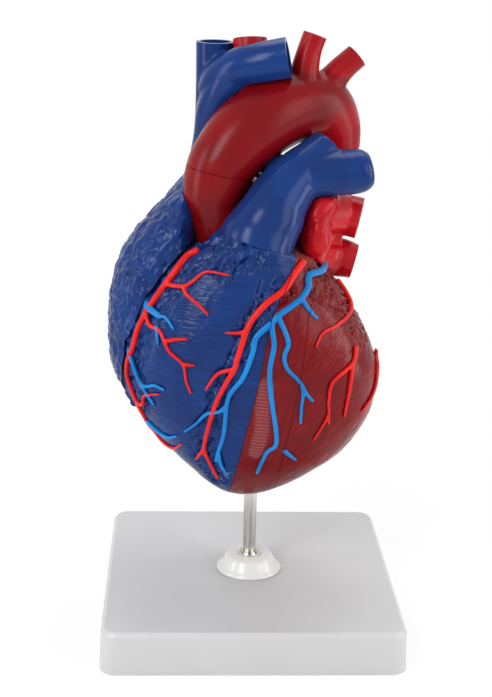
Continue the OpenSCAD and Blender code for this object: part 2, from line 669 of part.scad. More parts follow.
module right_ventricle_front_wall() color(blue) moulded() difference() {
    intersection() {
        ventricle_solid();
        right_wall_region();
    }
    right_chamber();
    valve_bores();
    magnet_row(right_wall_magnets_at, [90, 0, 0], seam - 1, pocket_r, magnet_t + 1.1);
}

module right_coronary_artery() color(artery_red) moulded() intersection() {
    union() {
        vessel(right_artery_main, artery_r * 1.25, 0.7, false, 2);
        for (route = right_artery_branches) vessel(route, artery_r);
        vessel(left_artery_main, artery_r * 1.2, 0.6, false, 2);
        for (route = left_artery_branches) vessel(route, artery_r * 0.9);
    }
    right_wall_region();
}

module anterior_cardiac_veins() color(vein_blue) moulded() intersection() {
    for (route = right_wall_vein_routes) vessel(route, vein_r * 0.85);
    right_wall_region();
}

module right_ventricle_wall_magnets() color("silver")
    magnet_row(right_wall_magnets_at, [90, 0, 0], seam + 0.05, magnet_d / 2, magnet_t - 0.05);

// ---- The left ventricle's side wall ----

module left_wall_region() through(left_wall_outline, -200, left_split_y * deep - seam, -seam);

module left_ventricle_side_wall() color(dark_red) moulded() difference() {
    intersection() {
        ventricle_solid();
        left_wall_region();
    }
    left_chamber_solid();
    magnet_row(left_wall_magnets_at, [90, 0, 0], seam - 1, pocket_r, magnet_t + 1.1);
}

module left_ventricle_arteries() color(artery_red) moulded() intersection() {
    for (route = side_artery_routes) vessel(route, artery_r * 0.9);
    left_wall_region();
}

module left_ventricle_veins() color(vein_blue) moulded() intersection() {
    for (route = strip_vein_routes) vessel(route, vein_r);
    left_wall_region();
}

module left_ventricle_wall_magnets() color("silver")
    magnet_row(left_wall_magnets_at, [90, 0, 0], seam + 0.05, magnet_d / 2, magnet_t - 0.05);

// ---- The right atrium's outer wall ----

module inferior_vena_cava() color(blue) moulded() difference() {
    tube(lower_cava_route, 20, 1, [1, 0, 0]);
    tube(past_end(lower_cava_route), 14, 1, [1, 0, 0], vein_wall);
    blob(right_atrium, 30, 1);
    ventricle_solid(-seam);
}

module right_atrium_wall_magnets() color("silver")
    magnet_row(right_atrium_magnets_at, [0, -90, 0], seam + 0.05, magnet_d / 2, magnet_t - 0.05);

// ---- The left atrium's rear wall ----

module left_atrium_rear_wall() color(red) moulded() difference() {
    left_atrium_shell();
    translate(fit([-100, left_atrium_split_y, 100]) + [0, seam - 200, 0]) cube([200, 200, 220]);
    magnet_row(left_atrium_magnets_at, [-90, 0, 0], seam - 1, pocket_r, magnet_t + 1.1);
    for (route = right_veins_routes) tube(route, 12, 1, [0, 0, 1], vein_wall);
}

module right_pulmonary_veins() color(red) moulded() difference() {
    for (route = right_veins_routes) tube(route, 16, 1, [0, 0, 1]);
    for (route = right_veins_routes) tube(past_end(route), 12, 1, [0, 0, 1], vein_wall);
    blob(left_atrium, 28, 1);
    blob(right_atrium, 30, 1, -seam);
}

module left_atrium_wall_magnets() color("silver")
    magnet_row(left_atrium_magnets_at, [-90, 0, 0], seam + 0.05, magnet_d / 2, magnet_t - 0.05);

// ---- The great vessels, lifted off as one ----

module arch_solid(less = 0) tube(arch_route, 22, 2, [0, 1, 0], less);

module trunk_solid(less = 0) tube(trunk_route, 22, 2, [0, 1, 0], less);

module above_trunk_seam() translate([0, 0, seam]) difference() {
    translate([-100, -100, 200]) cube(200);
    through(below_trunk_seam);
}

module aortic_arch() color(dark_red) moulded() difference() {
    arch_solid();
    tube(past_end(arch_route), 16, 1, [0, 1, 0], vessel_wall);
    aorta_seam_place() translate([-50, -50, seam - 100]) cube(100);
    aorta_magnets(seam - 1, pocket_r, magnet_t + 1.1);
}

// A vessel end with a blind opening of the stated depth at the route's last point
module blind_end(route, less, across = [0, 1, 0]) {
    last = len(route) - 1;
    end = fit(route[last]);
    along = unit(end - fit(route[last - 1]));
    turn = [0, acos(along.z), atan2(along.y, along.x)];
    translate(end - along * lumen_depth) rotate(turn)
        cylinder(h = lumen_depth + 1, r = route[last][3] - less, $fn = 24);
}

module brachiocephalic_trunk() color(red) moulded() difference() {
    tube(trunk_artery_route, 16, 2, [0, 1, 0]);
    arch_solid();
    blind_end(trunk_artery_route, branch_wall);
}

module left_carotid_artery() color(red) moulded() difference() {
    tube(carotid_route, 16, 2);
    arch_solid();
    blind_end(carotid_route, branch_wall);
}

module left_subclavian_artery() color(red) moulded() difference() {
    tube(subclavian_route, 16, 2);
    arch_solid();
    tube(carotid_route, 16, 2);
    blind_end(subclavian_route, branch_wall);
}

module superior_vena_cava() color(blue) moulded() difference() {
    tube(cava_route, 20, 1, [0, 1, 0]);
    tube(past_end(cava_route), 14, 1, [0, 1, 0], vein_wall);
    translate(fit([0, 0, cava_seam_z]) + [-100, -100, seam - 100]) cube([200, 200, 100]);
    arch_solid();
    aorta_root_space(seam);
}

module left_brachiocephalic_vein() color(blue) moulded() difference() {
    tube(brachiocephalic_vein_route, 20, 2, [0, 0, 1]);
    arch_solid();
    tube(cava_route, 20, 1, [0, 1, 0]);
    tube(trunk_artery_route, 16, 2, [0, 1, 0]);
    blind_end(brachiocephalic_vein_route, vein_wall);
}

module pulmonary_trunk() color(blue) moulded() difference() {
    intersection() {
        trunk_solid();
        above_trunk_seam();
    }
    intersection() {
        tube(trunk_route, 16, 1, [0, 1, 0], vessel_wall);
        translate([-60, -80, 100]) cube([90, 120, 186]);
    }
    arch_solid();
    blind_end(trunk_route, branch_wall);
    aorta_root_space(seam);
}

module left_pulmonary_artery() color(blue) moulded() difference() {
    tube(left_artery_route, 20, 1);
    trunk_solid();
    arch_solid();
}

module right_pulmonary_artery() color(blue) moulded() difference() {
    tube(right_artery_route, 16, 2, [0, 0, 1]);
    trunk_solid();
    arch_solid();
    tube(cava_route, 20, 1, [0, 1, 0]);
    blind_end(right_artery_route, branch_wall);
}

module great_vessel_magnets() color("silver") aorta_magnets(seam + 0.05, magnet_d / 2, magnet_t - 0.05);

stand_base();
rod_boss();
stand_rod();
upper_lock_washer();
lower_lock_washer();
rod_socket();
septum();
right_ventricle_rear_wall();
left_ventricle_rear_wall();
right_atrium_inner_wall();
left_atrium_front_wall();
left_auricle();
left_pulmonary_veins();
aortic_root();
aortic_valve();
pulmonary_valve();
tricuspid_valve();
mitral_valve();
right_papillary_muscles();
left_papillary_muscles();
left_coronary_artery();
great_cardiac_vein();
rear_coronary_vessels();
heart_body_magnets();
right_ventricle_front_wall();
right_coronary_artery();
anterior_cardiac_veins();
right_ventricle_wall_magnets();
left_ventricle_side_wall();
left_ventricle_arteries();
left_ventricle_veins();
left_ventricle_wall_magnets();
right_atrium_outer_wall();
inferior_vena_cava();
right_atrium_wall_magnets();
left_atrium_rear_wall();
right_pulmonary_veins();
left_atrium_wall_magnets();
aortic_arch();
brachiocephalic_trunk();
left_carotid_artery();
left_subclavian_artery();
superior_vena_cava();
left_brachiocephalic_vein();
pulmonary_trunk();
left_pulmonary_artery();
right_pulmonary_artery();
great_vessel_magnets();
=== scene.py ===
# %% [markdown]
# # A take-apart model of the human heart
#
# The object is a classroom model: a glossy painted plastic heart on a steel rod, over a light grey
# stand. The packed CAD model gives every piece its place and size. This lesson dresses it: the same
# forms are made again with smooth skins and moulded relief, and every piece gets its paint.
#
# Lengths are written in millimetres, as on the drawing, and turned into metres when a mesh is made.

# %% Load the packed model
import json
import math

import bmesh
import bpy
import numpy as np
from mathutils import Matrix, Vector

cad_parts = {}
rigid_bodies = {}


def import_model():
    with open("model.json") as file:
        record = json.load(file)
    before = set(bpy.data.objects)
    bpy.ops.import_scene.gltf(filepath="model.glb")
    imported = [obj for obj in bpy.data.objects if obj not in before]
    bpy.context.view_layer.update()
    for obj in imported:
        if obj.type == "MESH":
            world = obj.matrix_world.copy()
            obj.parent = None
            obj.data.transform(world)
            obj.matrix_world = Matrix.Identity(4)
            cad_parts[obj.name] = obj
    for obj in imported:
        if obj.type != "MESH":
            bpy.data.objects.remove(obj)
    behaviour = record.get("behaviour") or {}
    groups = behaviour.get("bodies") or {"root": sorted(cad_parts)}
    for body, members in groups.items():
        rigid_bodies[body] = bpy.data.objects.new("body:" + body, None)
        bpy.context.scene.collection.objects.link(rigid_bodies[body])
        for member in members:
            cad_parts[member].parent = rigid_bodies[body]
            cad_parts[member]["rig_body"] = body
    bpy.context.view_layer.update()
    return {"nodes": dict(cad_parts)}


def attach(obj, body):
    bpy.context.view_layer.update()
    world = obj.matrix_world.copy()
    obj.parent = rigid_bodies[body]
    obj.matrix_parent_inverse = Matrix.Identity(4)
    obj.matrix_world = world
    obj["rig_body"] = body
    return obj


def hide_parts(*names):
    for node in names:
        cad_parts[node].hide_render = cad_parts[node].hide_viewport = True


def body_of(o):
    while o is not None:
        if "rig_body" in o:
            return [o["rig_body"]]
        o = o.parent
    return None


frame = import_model()
MM = 0.001
PER_METRE = 1000
scene = bpy.context.scene

# %% [markdown]
# ## The camera
#
# The photograph was taken from a little above and left of the middle. Its viewpoint was measured from
# the edges of the stand: a place, and three turns. A camera made from those shows the model from
# where the photographer stood.

# %% Place the camera
CAMERA_AT = (-43.3, -800.9, 411.9)
YAW, PITCH, ROLL = 2.739, 16.726, 1.361
FOCAL_LENGTH = 71.25


def camera_turn():
    """The camera's axes: it starts level, facing +Y, then pitches down, yaws and rolls."""
    level = Matrix.Rotation(math.radians(90), 3, "X")
    pitch = Matrix.Rotation(math.radians(-PITCH), 3, "X")
    yaw = Matrix.Rotation(math.radians(-YAW), 3, "Z")
    roll = Matrix.Rotation(math.radians(ROLL), 3, "Z")
    return yaw @ pitch @ level @ roll


camera = bpy.data.objects.new("camera", bpy.data.cameras.new("camera"))
scene.collection.objects.link(camera)
camera.matrix_world = Matrix.Translation(Vector(CAMERA_AT) * MM) @ camera_turn().to_4x4()
camera.data.lens = FOCAL_LENGTH
camera.data.clip_start = 0.05
scene.camera = camera
scene.view_settings.view_transform = "Standard"
print("camera at", tuple(round(v, 3) for v in camera.location))

# %% [markdown]
# ## Node trees, written as sums
#
# Paint, relief and sky are all node trees. Laying nodes by hand takes a page for each, and shader
# maths reads best as a formula. So a small class wraps a socket, and each operator on it adds the Math
# node that does that sum: a mask is one line of Python instead of six nodes. A second class adds any
# other node, so that every tree in this lesson is built in the same way.

# %% A socket that can be added and multiplied


class Sum:
    """A number that varies over a surface: an output socket with Python's operators."""

    def __init__(self, builder, socket):
        self.builder, self.socket = builder, socket

    def calculate(self, operation, *others):
        inputs = dict(enumerate((self, *others)))
        return self.builder.node("ShaderNodeMath", {"operation": operation}, inputs)

    def __add__(self, other):
        return self.calculate("ADD", other)

    def __sub__(self, other):
        return self.calculate("SUBTRACT", other)

    def __rsub__(self, other):
        return (self * -1) + other

    def __mul__(self, other):
        return self.calculate("MULTIPLY", other)

    def __rtruediv__(self, other):
        return self.builder.node("ShaderNodeMath", {"operation": "DIVIDE"}, {0: other, 1: self})

    def power(self, exponent):
        return self.calculate("POWER", exponent)

    def sine(self):
        return self.calculate("SINE")

    def at_most(self, limit):
        return self.calculate("MINIMUM", limit)

    def ramp(self, low, high):
        """0 below low and 1 above high, smooth between; low may be the larger."""
        inputs = {"Value": self, "From Min": low, "From Max": high}
        settings = {"interpolation_type": "SMOOTHSTEP"}
        return self.builder.node("ShaderNodeMapRange", settings, inputs)

    __radd__, __rmul__ = __add__, __mul__


print("a socket now understands + - * / and", [n for n in vars(Sum) if "_" not in n])

# %% A node tree that is filled in from Python


class Builder:
    """A node tree under construction."""

    def __init__(self, tree):
        self.tree = tree

    def node(self, kind, settings, inputs, output=0):
        """Adds a node, sets it, fills its sockets and returns one of its outputs."""
        made = self.tree.nodes.new(kind)
        for key, value in settings.items():
            setattr(made, key, value)
        for key, value in inputs.items():
            self.fill(made.inputs[key], value)
        return Sum(self, made.outputs[output])

    def fill(self, socket, value):
        """Links a socket to a varying value, or sets it to a fixed one."""
        if isinstance(value, Sum):
            self.tree.links.new(value.socket, socket)
        else:
            socket.default_value = value

    def vector(self, operation, *vectors):
        settings = {"operation": operation}
        return self.node("ShaderNodeVectorMath", settings, dict(enumerate(vectors)))

    def scaled(self, vector, factor):
        inputs = {0: vector, "Scale": factor}
        return self.node("ShaderNodeVectorMath", {"operation": "SCALE"}, inputs)


print("a tree can be filled with", [n for n in vars(Builder) if "_" not in n])

# %% [markdown]
# ## Light
#
# The photograph is a product shot on white: big soft boxes, pale reflections down both edges of the
# heart, and almost no shadow. A lit environment picture could give that, but its reflections can't be
# placed. So five area lamps stand where the soft boxes stood, in a white world that they barely
# outshine. That world is at full white for the camera, glossy and transmission rays only, so that it
# doesn't flood the paint.

# %% Light the studio
DAYLIGHT = 0.5


def soft_box(name, place, target, width, height, watts):
    """An area lamp that faces a point."""
    lamp = bpy.data.objects.new(name, bpy.data.lights.new(name, "AREA"))
    lamp.data.shape = "RECTANGLE"
    lamp.data.size, lamp.data.size_y = width, height
    lamp.data.energy = watts
    lamp.location = place
    lamp.rotation_euler = (Vector(target) - Vector(place)).to_track_quat("-Z", "Y").to_euler()
    scene.collection.objects.link(lamp)


soft_box("key_light", (-0.75, -1.0, 0.95), (0, 0, 0.22), 0.45, 0.8, 10)
soft_box("fill_light", (0.95, -0.7, 0.55), (0, 0, 0.2), 0.5, 0.9, 4)
soft_box("left_strip", (-0.9, -0.22, 0.36), (0, 0, 0.2), 0.22, 0.75, 2.6)
soft_box("right_strip", (0.9, -0.12, 0.34), (0, 0, 0.2), 0.22, 0.75, 2.6)
soft_box("top_light", (0.1, 0.35, 1.2), (0, 0, 0.3), 0.9, 0.6, 5)

world = bpy.data.worlds.new("studio")
scene.world = world
world.use_nodes = True
world.node_tree.nodes.clear()
sky = Builder(world.node_tree)
rays = sky.node("ShaderNodeLightPath", {}, {}).socket.node.outputs
shown = Sum(sky, rays["Is Camera Ray"])
for kind in ("Is Glossy Ray", "Is Transmission Ray"):
    shown = shown.calculate("MAXIMUM", Sum(sky, rays[kind]))
dim, white = (DAYLIGHT, DAYLIGHT, DAYLIGHT, 1), (1, 1, 1, 1)
tint = sky.node("ShaderNodeMixRGB", {}, {0: shown, 1: dim, 2: white})
glow = sky.node("ShaderNodeBackground", {}, {"Color": tint})
sky.fill(sky.tree.nodes.new("ShaderNodeOutputWorld").inputs["Surface"], glow)
print("lamps:", len(bpy.data.lights), "and a world at", DAYLIGHT)

# %% [markdown]
# ## Rows and skins
#
# Every form on the heart starts as rows of a few numbers: how wide and deep the heart is at each
# height, or where a vessel runs and how thick it is. Sculpting could give such forms too, but rows can
# be read, compared with the drawing and changed. A smooth curve through them gives many more rows, and
# a skin over those gives a mesh.

# %% Smooth rows
DETAIL = 1.0


def smooth(rows, steps):
    """More rows, on a smooth curve through the given ones."""
    rows = np.array(rows, float)
    ends = np.vstack([rows[:1], rows, rows[-1:]])
    a, b, c, d = ends[:-3], ends[1:-2], ends[2:-1], ends[3:]
    parts = [b + 0.5 * t * ((c - a) + t * ((2 * a - 5 * b + 4 * c - d) + t * (3 * (b - c) + d - a)))
             for t in np.arange(steps) / steps]
    return np.vstack([np.stack(parts, 1).reshape(-1, rows.shape[1]), rows[-1:]])


def steps_for(rows, spacing):
    """How many steps between rows keep the new rows about this far apart."""
    rows = np.array(rows, float)[:, :3]
    mean = np.linalg.norm(np.diff(rows, axis=0), axis=1).mean()
    return max(1, round(mean / spacing * DETAIL))


print("between two rows of 10 mm:", steps_for([(0, 0, 0), (10, 0, 0)], 1.0), "steps")

# %% A skin over rings
workshop = bpy.data.collections.new("workshop")
scene.collection.children.link(workshop)


def new_object(name, points, faces):
    """A smooth-shaded mesh object from points in millimetres."""
    mesh = bpy.data.meshes.new(name)
    mesh.from_pydata((np.asarray(points) * MM).tolist(), [], faces)
    mesh.shade_smooth()
    made = bpy.data.objects.new(name, mesh)
    workshop.objects.link(made)
    return made


def outwards(made):
    """Turns a closed mesh's faces to point outwards."""
    work = bmesh.new()
    work.from_mesh(made.data)
    bmesh.ops.recalc_face_normals(work, faces=work.faces)
    if work.calc_volume(signed=True) < 0:
        bmesh.ops.reverse_faces(work, faces=work.faces)
    work.to_mesh(made.data)
    work.free()


def skin(name, rings):
    """A closed mesh over rings of equal count, with a fan of triangles on each end."""
    count, sides = rings.shape[:2]
    points = np.vstack([rings.reshape(-1, 3), rings[0].mean(0), rings[-1].mean(0)])
    i, k = np.meshgrid(np.arange(count - 1), np.arange(sides), indexing="ij")
    m = (k + 1) % sides
    walls = np.stack([i * sides + k, i * sides + m, (i + 1) * sides + m, (i + 1) * sides + k], -1)
    foot, top = count * sides, count * sides + 1
    last = (count - 1) * sides
    faces = walls.reshape(-1, 4).tolist()
    faces += [[foot, (j + 1) % sides, j] for j in range(sides)]
    faces += [[top, last + j, last + (j + 1) % sides] for j in range(sides)]
    made = new_object(name, points, faces)
    outwards(made)
    return made


print("the workshop is ready:", workshop.name)

# %% [markdown]
# ## Chambers and vessels
#
# A chamber is a stack of rings that are a little squarer than an ellipse, as a hollow casting is, with
# a low dome on each end. A vessel is a ring carried along a route. Both could be a lofted surface, but
# rings of equal count make an even mesh, which the relief and the cuts that follow need.

# %% A chamber from rows
SQUARENESS = 2 / 2.3
OUTLINE_SHARE = 0.85


def signed_power(value, power):
    return np.sign(value) * np.abs(value) ** power


def blob_rings(table, sides, steps, inset=0.0, rounded=0.0):
    """Rings of a chamber: each row of its table is height, left, right, front and back."""
    rows = smooth(table, steps)
    turn = np.linspace(0, 2 * np.pi, sides, endpoint=False)
    left, right = rows[:, 1, None] + inset, rows[:, 2, None] - inset
    front, back = rows[:, 3, None] + inset, rows[:, 4, None] - inset
    x = (left + right) / 2 + (right - left) / 2 * signed_power(np.cos(turn), SQUARENESS)
    y = (front + back) / 2 + (back - front) / 2 * signed_power(np.sin(turn), SQUARENESS)
    z = np.repeat(rows[:, :1], sides, 1)
    rings = np.stack([x, y, z], -1)
    if rounded:
        rings = np.concatenate([dome(rings[0], -rounded)[::-1], rings, dome(rings[-1], rounded)])
    return rings


def dome(ring, rise):
    """Smaller and smaller rings over an end, so that it closes as a low dome."""
    middle = ring.mean(0)
    lifts = np.linspace(0, 1, 9)[1:-1]
    return np.stack([middle + (ring - middle) * np.sqrt(1 - t * t) + (0, 0, rise * t) for t in lifts])


def blob(name, table, inset=0.0, spacing=1.2, rounded=0.0):
    """A chamber's form, or the room inside it, with faces of about one size."""
    box_round = max(2 * (row[2] - row[1]) + 2 * (row[4] - row[3]) for row in table)
    sides = int(box_round * OUTLINE_SHARE / spacing * DETAIL)
    heights = [[row[0], 0, 0] for row in table]
    return skin(name, blob_rings(table, sides, steps_for(heights, spacing), inset, rounded))


print("a chamber's ring of 200 mm has", int(200 * OUTLINE_SHARE / 1.2 * DETAIL), "sides")

# %% A vessel along a route
FEWEST_SIDES = 24


def tube_rings(route, sides, steps, across=(0, 1, 0), less=0.0):
    """Rings along a route of x, y, z and radius; across is a direction the route never takes."""
    rows = smooth(route, steps)
    middle = rows[:, :3]
    along = np.gradient(middle, axis=0)
    along /= np.linalg.norm(along, axis=1, keepdims=True)
    u = np.cross(across, along)
    u /= np.linalg.norm(u, axis=1, keepdims=True)
    v = np.cross(along, u)
    turn = np.linspace(0, 2 * np.pi, sides, endpoint=False)[None, :, None]
    radius = (rows[:, 3] - less)[:, None, None]
    return middle[:, None] + radius * (np.cos(turn) * u[:, None] + np.sin(turn) * v[:, None])


def tube(name, route, less=0.0, across=(0, 1, 0), spacing=1.0, past=0.0):
    """A tube along a route. With past, its last point lies further on, to cut an end open."""
    route = np.array(route, float)
    if past:
        route[-1, :3] += (route[-1, :3] - route[-2, :3]) * past
    widest = 2 * np.pi * (route[:, 3].max() - less)
    sides = int(max(widest / spacing * DETAIL, FEWEST_SIDES))
    return skin(name, tube_rings(route, sides, steps_for(route, spacing), across, less))


print("a thin vessel has", FEWEST_SIDES, "sides")

# %% Rods, blocks and vessel ends


def rod(name, start, end, radius, sides=64):
    """A straight cylinder between two points."""
    start, end = np.array(start, float), np.array(end, float)
    along = (end - start) / np.linalg.norm(end - start)
    across = (0, 1, 0) if abs(along[1]) < 0.9 else (1, 0, 0)
    u = np.cross(across, along)
    u /= np.linalg.norm(u)
    v = np.cross(along, u)
    turn = np.linspace(0, 2 * np.pi, sides, endpoint=False)[:, None]
    ring = radius * (np.cos(turn) * u + np.sin(turn) * v)
    return skin(name, np.stack([start + ring, end + ring]))


def way_out(route, end=-1):
    """The direction in which a route leaves at its last point, or at its first with end 0."""
    step = route[end, :3] - route[-2 if end else 1, :3]
    return step / np.linalg.norm(step)


def longer(route, ends=(1,), extra=4.0):
    """A route with its ends moved further out, so that they can be cut back flat."""
    route = np.array(route, float)
    if 1 in ends:
        tip = route[-1, :3] + way_out(route) * extra
        route = np.vstack([route, np.append(tip, route[-1, 3])])
    if 0 in ends:
        tip = route[0, :3] + way_out(route, 0) * extra
        route = np.vstack([np.append(tip, route[0, 3]), route])
    return route


def beyond_end(route, wide=1.6, length=14.0):
    """A cutter that starts flat at a vessel's last point."""
    route = np.array(route, float)
    end = route[-1, :3]
    return rod("beyond_end", end, end + way_out(route) * length, route[-1, 3] * wide + 1, 48)


def block(name, low, high):
    """A box between two corners."""
    (x0, y0, z0), (x1, y1, z1) = low, high
    ring = np.array([[x0, y0, 0], [x1, y0, 0], [x1, y1, 0], [x0, y1, 0]], float)
    return skin(name, np.stack([ring + (0, 0, z0), ring + (0, 0, z1)]))


print("one step out of a straight route:", way_out(np.array([[0, 0, 0, 1], [0, 0, 2, 1.0]])))

# %% [markdown]
# ## Cutting, joining and melting
#
# The pieces are cut out of one another, just as the real ones fit: a seam is two surfaces a third of a
# millimetre apart, and shows as a fine dark line. A seam could be painted on, but then no piece could
# come off. Where vessels join, a mould leaves a fillet, and a voxel remesh with a few rounds of
# smoothing gives the same. It works on any tangle of tubes, where a bevel on the join would fail.

# %% Outlines cut straight through


def grown(outline, grow):
    """A closed outline of x and z moved outwards a little, or inwards where grow is negative."""
    points = np.array(outline, float)
    after, before = np.roll(points, -1, 0) - points, points - np.roll(points, 1, 0)

    def normal(edge):
        length = np.maximum(np.linalg.norm(edge, axis=1, keepdims=True), 1e-6)
        return np.stack([edge[:, 1], -edge[:, 0]], 1) / length

    n1, n2 = normal(before), normal(after)
    mean = n1 + n2
    mean /= np.maximum(np.linalg.norm(mean, axis=1, keepdims=True), 1e-6)
    share = np.maximum((mean * n1).sum(1, keepdims=True), 0.35)
    x, z = points.T
    area = (x * np.roll(z, -1) - np.roll(x, -1) * z).sum()
    return points + mean / share * grow * (1 if area > 0 else -1)


def through(name, outline, front=-200.0, back=200.0, grow=0.0):
    """A prism with a front outline of x and z points, from one depth to another."""
    flat = grown(outline, grow) if grow else np.array(outline, float)
    count = len(flat)
    points = [(x, y, z) for y in (front, back) for x, z in flat]
    faces = [list(range(count)), list(range(2 * count - 1, count - 1, -1))]
    faces += [[i, i + count, (i + 1) % count + count, (i + 1) % count] for i in range(count)]
    made = new_object(name, points, faces)
    work = bmesh.new()
    work.from_mesh(made.data)
    bmesh.ops.triangulate(work, faces=[f for f in work.faces if len(f.verts) > 4])
    work.to_mesh(made.data)
    work.free()
    outwards(made)
    return made


print("a square grown by 1 mm:", grown([(0, 0), (10, 0), (10, 10), (0, 10)], 1).tolist())

# %% Modifiers that are baked at once


def bake(made):
    """Applies an object's modifiers to its mesh."""
    depsgraph = bpy.context.evaluated_depsgraph_get()
    mesh = bpy.data.meshes.new_from_object(made.evaluated_get(depsgraph), depsgraph=depsgraph)
    old = made.data
    made.modifiers.clear()
    made.data = mesh
    bpy.data.meshes.remove(old)
    return made


def combine(operation, first, *others):
    """A new object: the first one cut by, joined with or kept within the others."""
    made = bpy.data.objects.new(first.name + "_cut", first.data.copy())
    workshop.objects.link(made)
    for other in others:
        modifier = made.modifiers.new("combine", "BOOLEAN")
        modifier.operation, modifier.solver, modifier.object = operation, "MANIFOLD", other
    return bake(made)


def cut(first, *others):
    return combine("DIFFERENCE", first, *others)


def join(first, *others):
    return combine("UNION", first, *others)


def within(first, *others):
    return combine("INTERSECT", first, *others)


def melt(made, voxel, rounds):
    """Melts overlapping closed forms into one skin with soft fillets where they meet."""
    remesh = made.modifiers.new("melt", "REMESH")
    remesh.mode, remesh.voxel_size, remesh.use_smooth_shade = "VOXEL", voxel / DETAIL * MM, True
    soften = made.modifiers.new("soften", "SMOOTH")
    soften.factor, soften.iterations = 0.5, rounds
    return bake(made)


print("cut, join, within and melt are ready")

# %% [markdown]
# ## Glossy paint
#
# The shell is cast plastic with a sprayed coat, whose tint goes deeper in random patches, and orange
# peel breaks up its reflections. The fibres on the ventricles are finer than a mesh can carry, so they
# are bump, with painted shade that darkens the grooves between them. A painted picture could hold all
# that, but it would need unwrapped pieces and would blur up close. Each formula below is one of those
# facts, in the object's own coordinates.

# %% A material with named parts


class Paint(Builder):
    """A material under construction, with its shader and its place on the object in millimetres."""

    def __init__(self, name):
        self.name = name
        self.material = bpy.data.materials.new(name)
        self.material.use_nodes = True
        super().__init__(self.material.node_tree)
        self.shader = next(n for n in self.tree.nodes if n.type == "BSDF_PRINCIPLED")
        self.place = self.node("ShaderNodeTexCoord", {}, {}, "Object")
        axes = self.node("ShaderNodeSeparateXYZ", {}, {0: self.place}).socket.node.outputs
        self.x, self.y, self.z = (Sum(self, axis) * PER_METRE for axis in axes)

    def noise(self, size_mm, detail=2.0, distortion=0.0, place=None):
        inputs = {"Vector": place or self.place, "Scale": PER_METRE / size_mm, "Detail": detail,
                  "Distortion": distortion}
        return self.node("ShaderNodeTexNoise", {}, inputs)

    def attribute(self, name):
        return self.node("ShaderNodeAttribute", {"attribute_name": name}, {}, "Fac")

    def mix(self, share, first, second):
        """A colour between two, which are colours or links."""
        inputs = {0: share, 6: first, 7: second}
        return self.node("ShaderNodeMix", {"data_type": "RGBA"}, inputs, 2)

    def set(self, **values):
        """Links or sets the Principled shader's sockets, by name with _ for a space."""
        for key, value in values.items():
            self.fill(self.shader.inputs[key.replace("_", " ")], value)

    def bump(self, height, depth_mm):
        self.set(Normal=self.node("ShaderNodeBump", {}, {
            "Height": height, "Distance": depth_mm * MM, "Strength": 1.0}))


def colour(red, green, blue):
    """A paint's colour as the eye reads it, from 0 to 255, in the renderer's linear light."""
    def linear(v):
        v /= 255
        return v / 12.92 if v <= 0.04045 else ((v + 0.055) / 1.055) ** 2.4
    return (linear(red), linear(green), linear(blue), 1.0)


print("mid grey in linear light:", tuple(round(v, 3) for v in colour(128, 128, 128)))

# %% Heart paint
FRONT_SLANT, SIDE_SLANT = -0.1, 1.15
FIBRE_WIDTH, FIBRE_LENGTH = 1.5, 14
BLUE, DEEP_BLUE, PALE_BLUE = colour(14, 50, 112), colour(8, 34, 86), colour(92, 118, 176)
DARK_RED, DEEP_RED, PALE_RED = colour(122, 8, 15), colour(88, 4, 9), colour(170, 92, 96)
BRIGHT_RED, FULL_RED, PALE_PINK = colour(186, 18, 29), colour(148, 8, 16), colour(214, 128, 118)
MUSCLE = colour(178, 78, 74)


def fibres(paint, slant):
    """Noise drawn out along a slanted direction, as seen from the front."""
    cosine, sine = math.cos(slant), math.sin(slant)
    along = (paint.x * cosine + paint.z * sine) * (1 / FIBRE_LENGTH)
    over = (paint.z * cosine - paint.x * sine) * (1 / FIBRE_WIDTH)
    deep = paint.y * (1 / (2 * FIBRE_WIDTH))
    place = paint.node("ShaderNodeCombineXYZ", {}, {0: along, 1: deep, 2: over})
    inputs = {"Vector": place, "Scale": 1.0, "Detail": 2.0, "Distortion": 0.6}
    return paint.node("ShaderNodeTexNoise", {}, inputs)


def hatching(paint):
    """Wavering lines across the strip over the septum."""
    height = paint.z * 2.9 + paint.x * 0.35 + paint.noise(6, 2.0) * 3.5
    return paint.attribute("hatched") * (height.sine() * 0.5 + 0.5).ramp(0.35, 0.75)


def glossy_paint(name, tint, deep, rough=0.14, fibre=0.0, slant=FRONT_SLANT, coat=0.0,
                 hatched=False, lining=None):
    """Sprayed plastic: a tint deeper in random patches, painted shade between fibres, and a clear
    coat.
    """
    paint = Paint(name)
    patches = paint.noise(26, 3.0).ramp(0.35, 0.68)
    base = paint.mix(patches * 0.55, tint, deep)
    bumps = paint.noise(1.5, 1.0) * 0.10
    if fibre:
        strands, combed = fibres(paint, slant), paint.attribute("combed")
        # painted shade: the tint goes deeper where the fibres' bump is low, in the grooves between
        # them
        base = paint.mix(strands.ramp(0.58, 0.40) * combed * 0.45, base, deep)
        bumps = bumps + strands * combed * fibre
    if hatched:
        hatch = hatching(paint)
        base = paint.mix(paint.attribute("hatched") * 0.25 + hatch * 0.35, base, PALE_RED)
        bumps = bumps + hatch * 1.2
    if lining:
        inside = paint.mix(patches * 0.4, lining, deep)
        base = paint.mix(paint.attribute("lined"), base, inside)
    paint.set(Base_Color=base, Coat_Weight=coat, Coat_Roughness=0.08)
    paint.set(Roughness=rough + paint.noise(9, 2.0) * 0.12, Specular_IOR_Level=0.17)
    paint.bump(bumps, 0.5)
    return paint


blue_paint = glossy_paint("blue_plastic", BLUE, DEEP_BLUE, fibre=1.0, lining=PALE_BLUE)
dark_red_paint = glossy_paint("dark_red_plastic", DARK_RED, DEEP_RED, fibre=0.5, slant=SIDE_SLANT,
                              hatched=True, lining=MUSCLE)
red_paint = glossy_paint("red_plastic", BRIGHT_RED, FULL_RED, lining=PALE_PINK)
print("heart paints:", [p.name for p in (blue_paint, dark_red_paint, red_paint)])

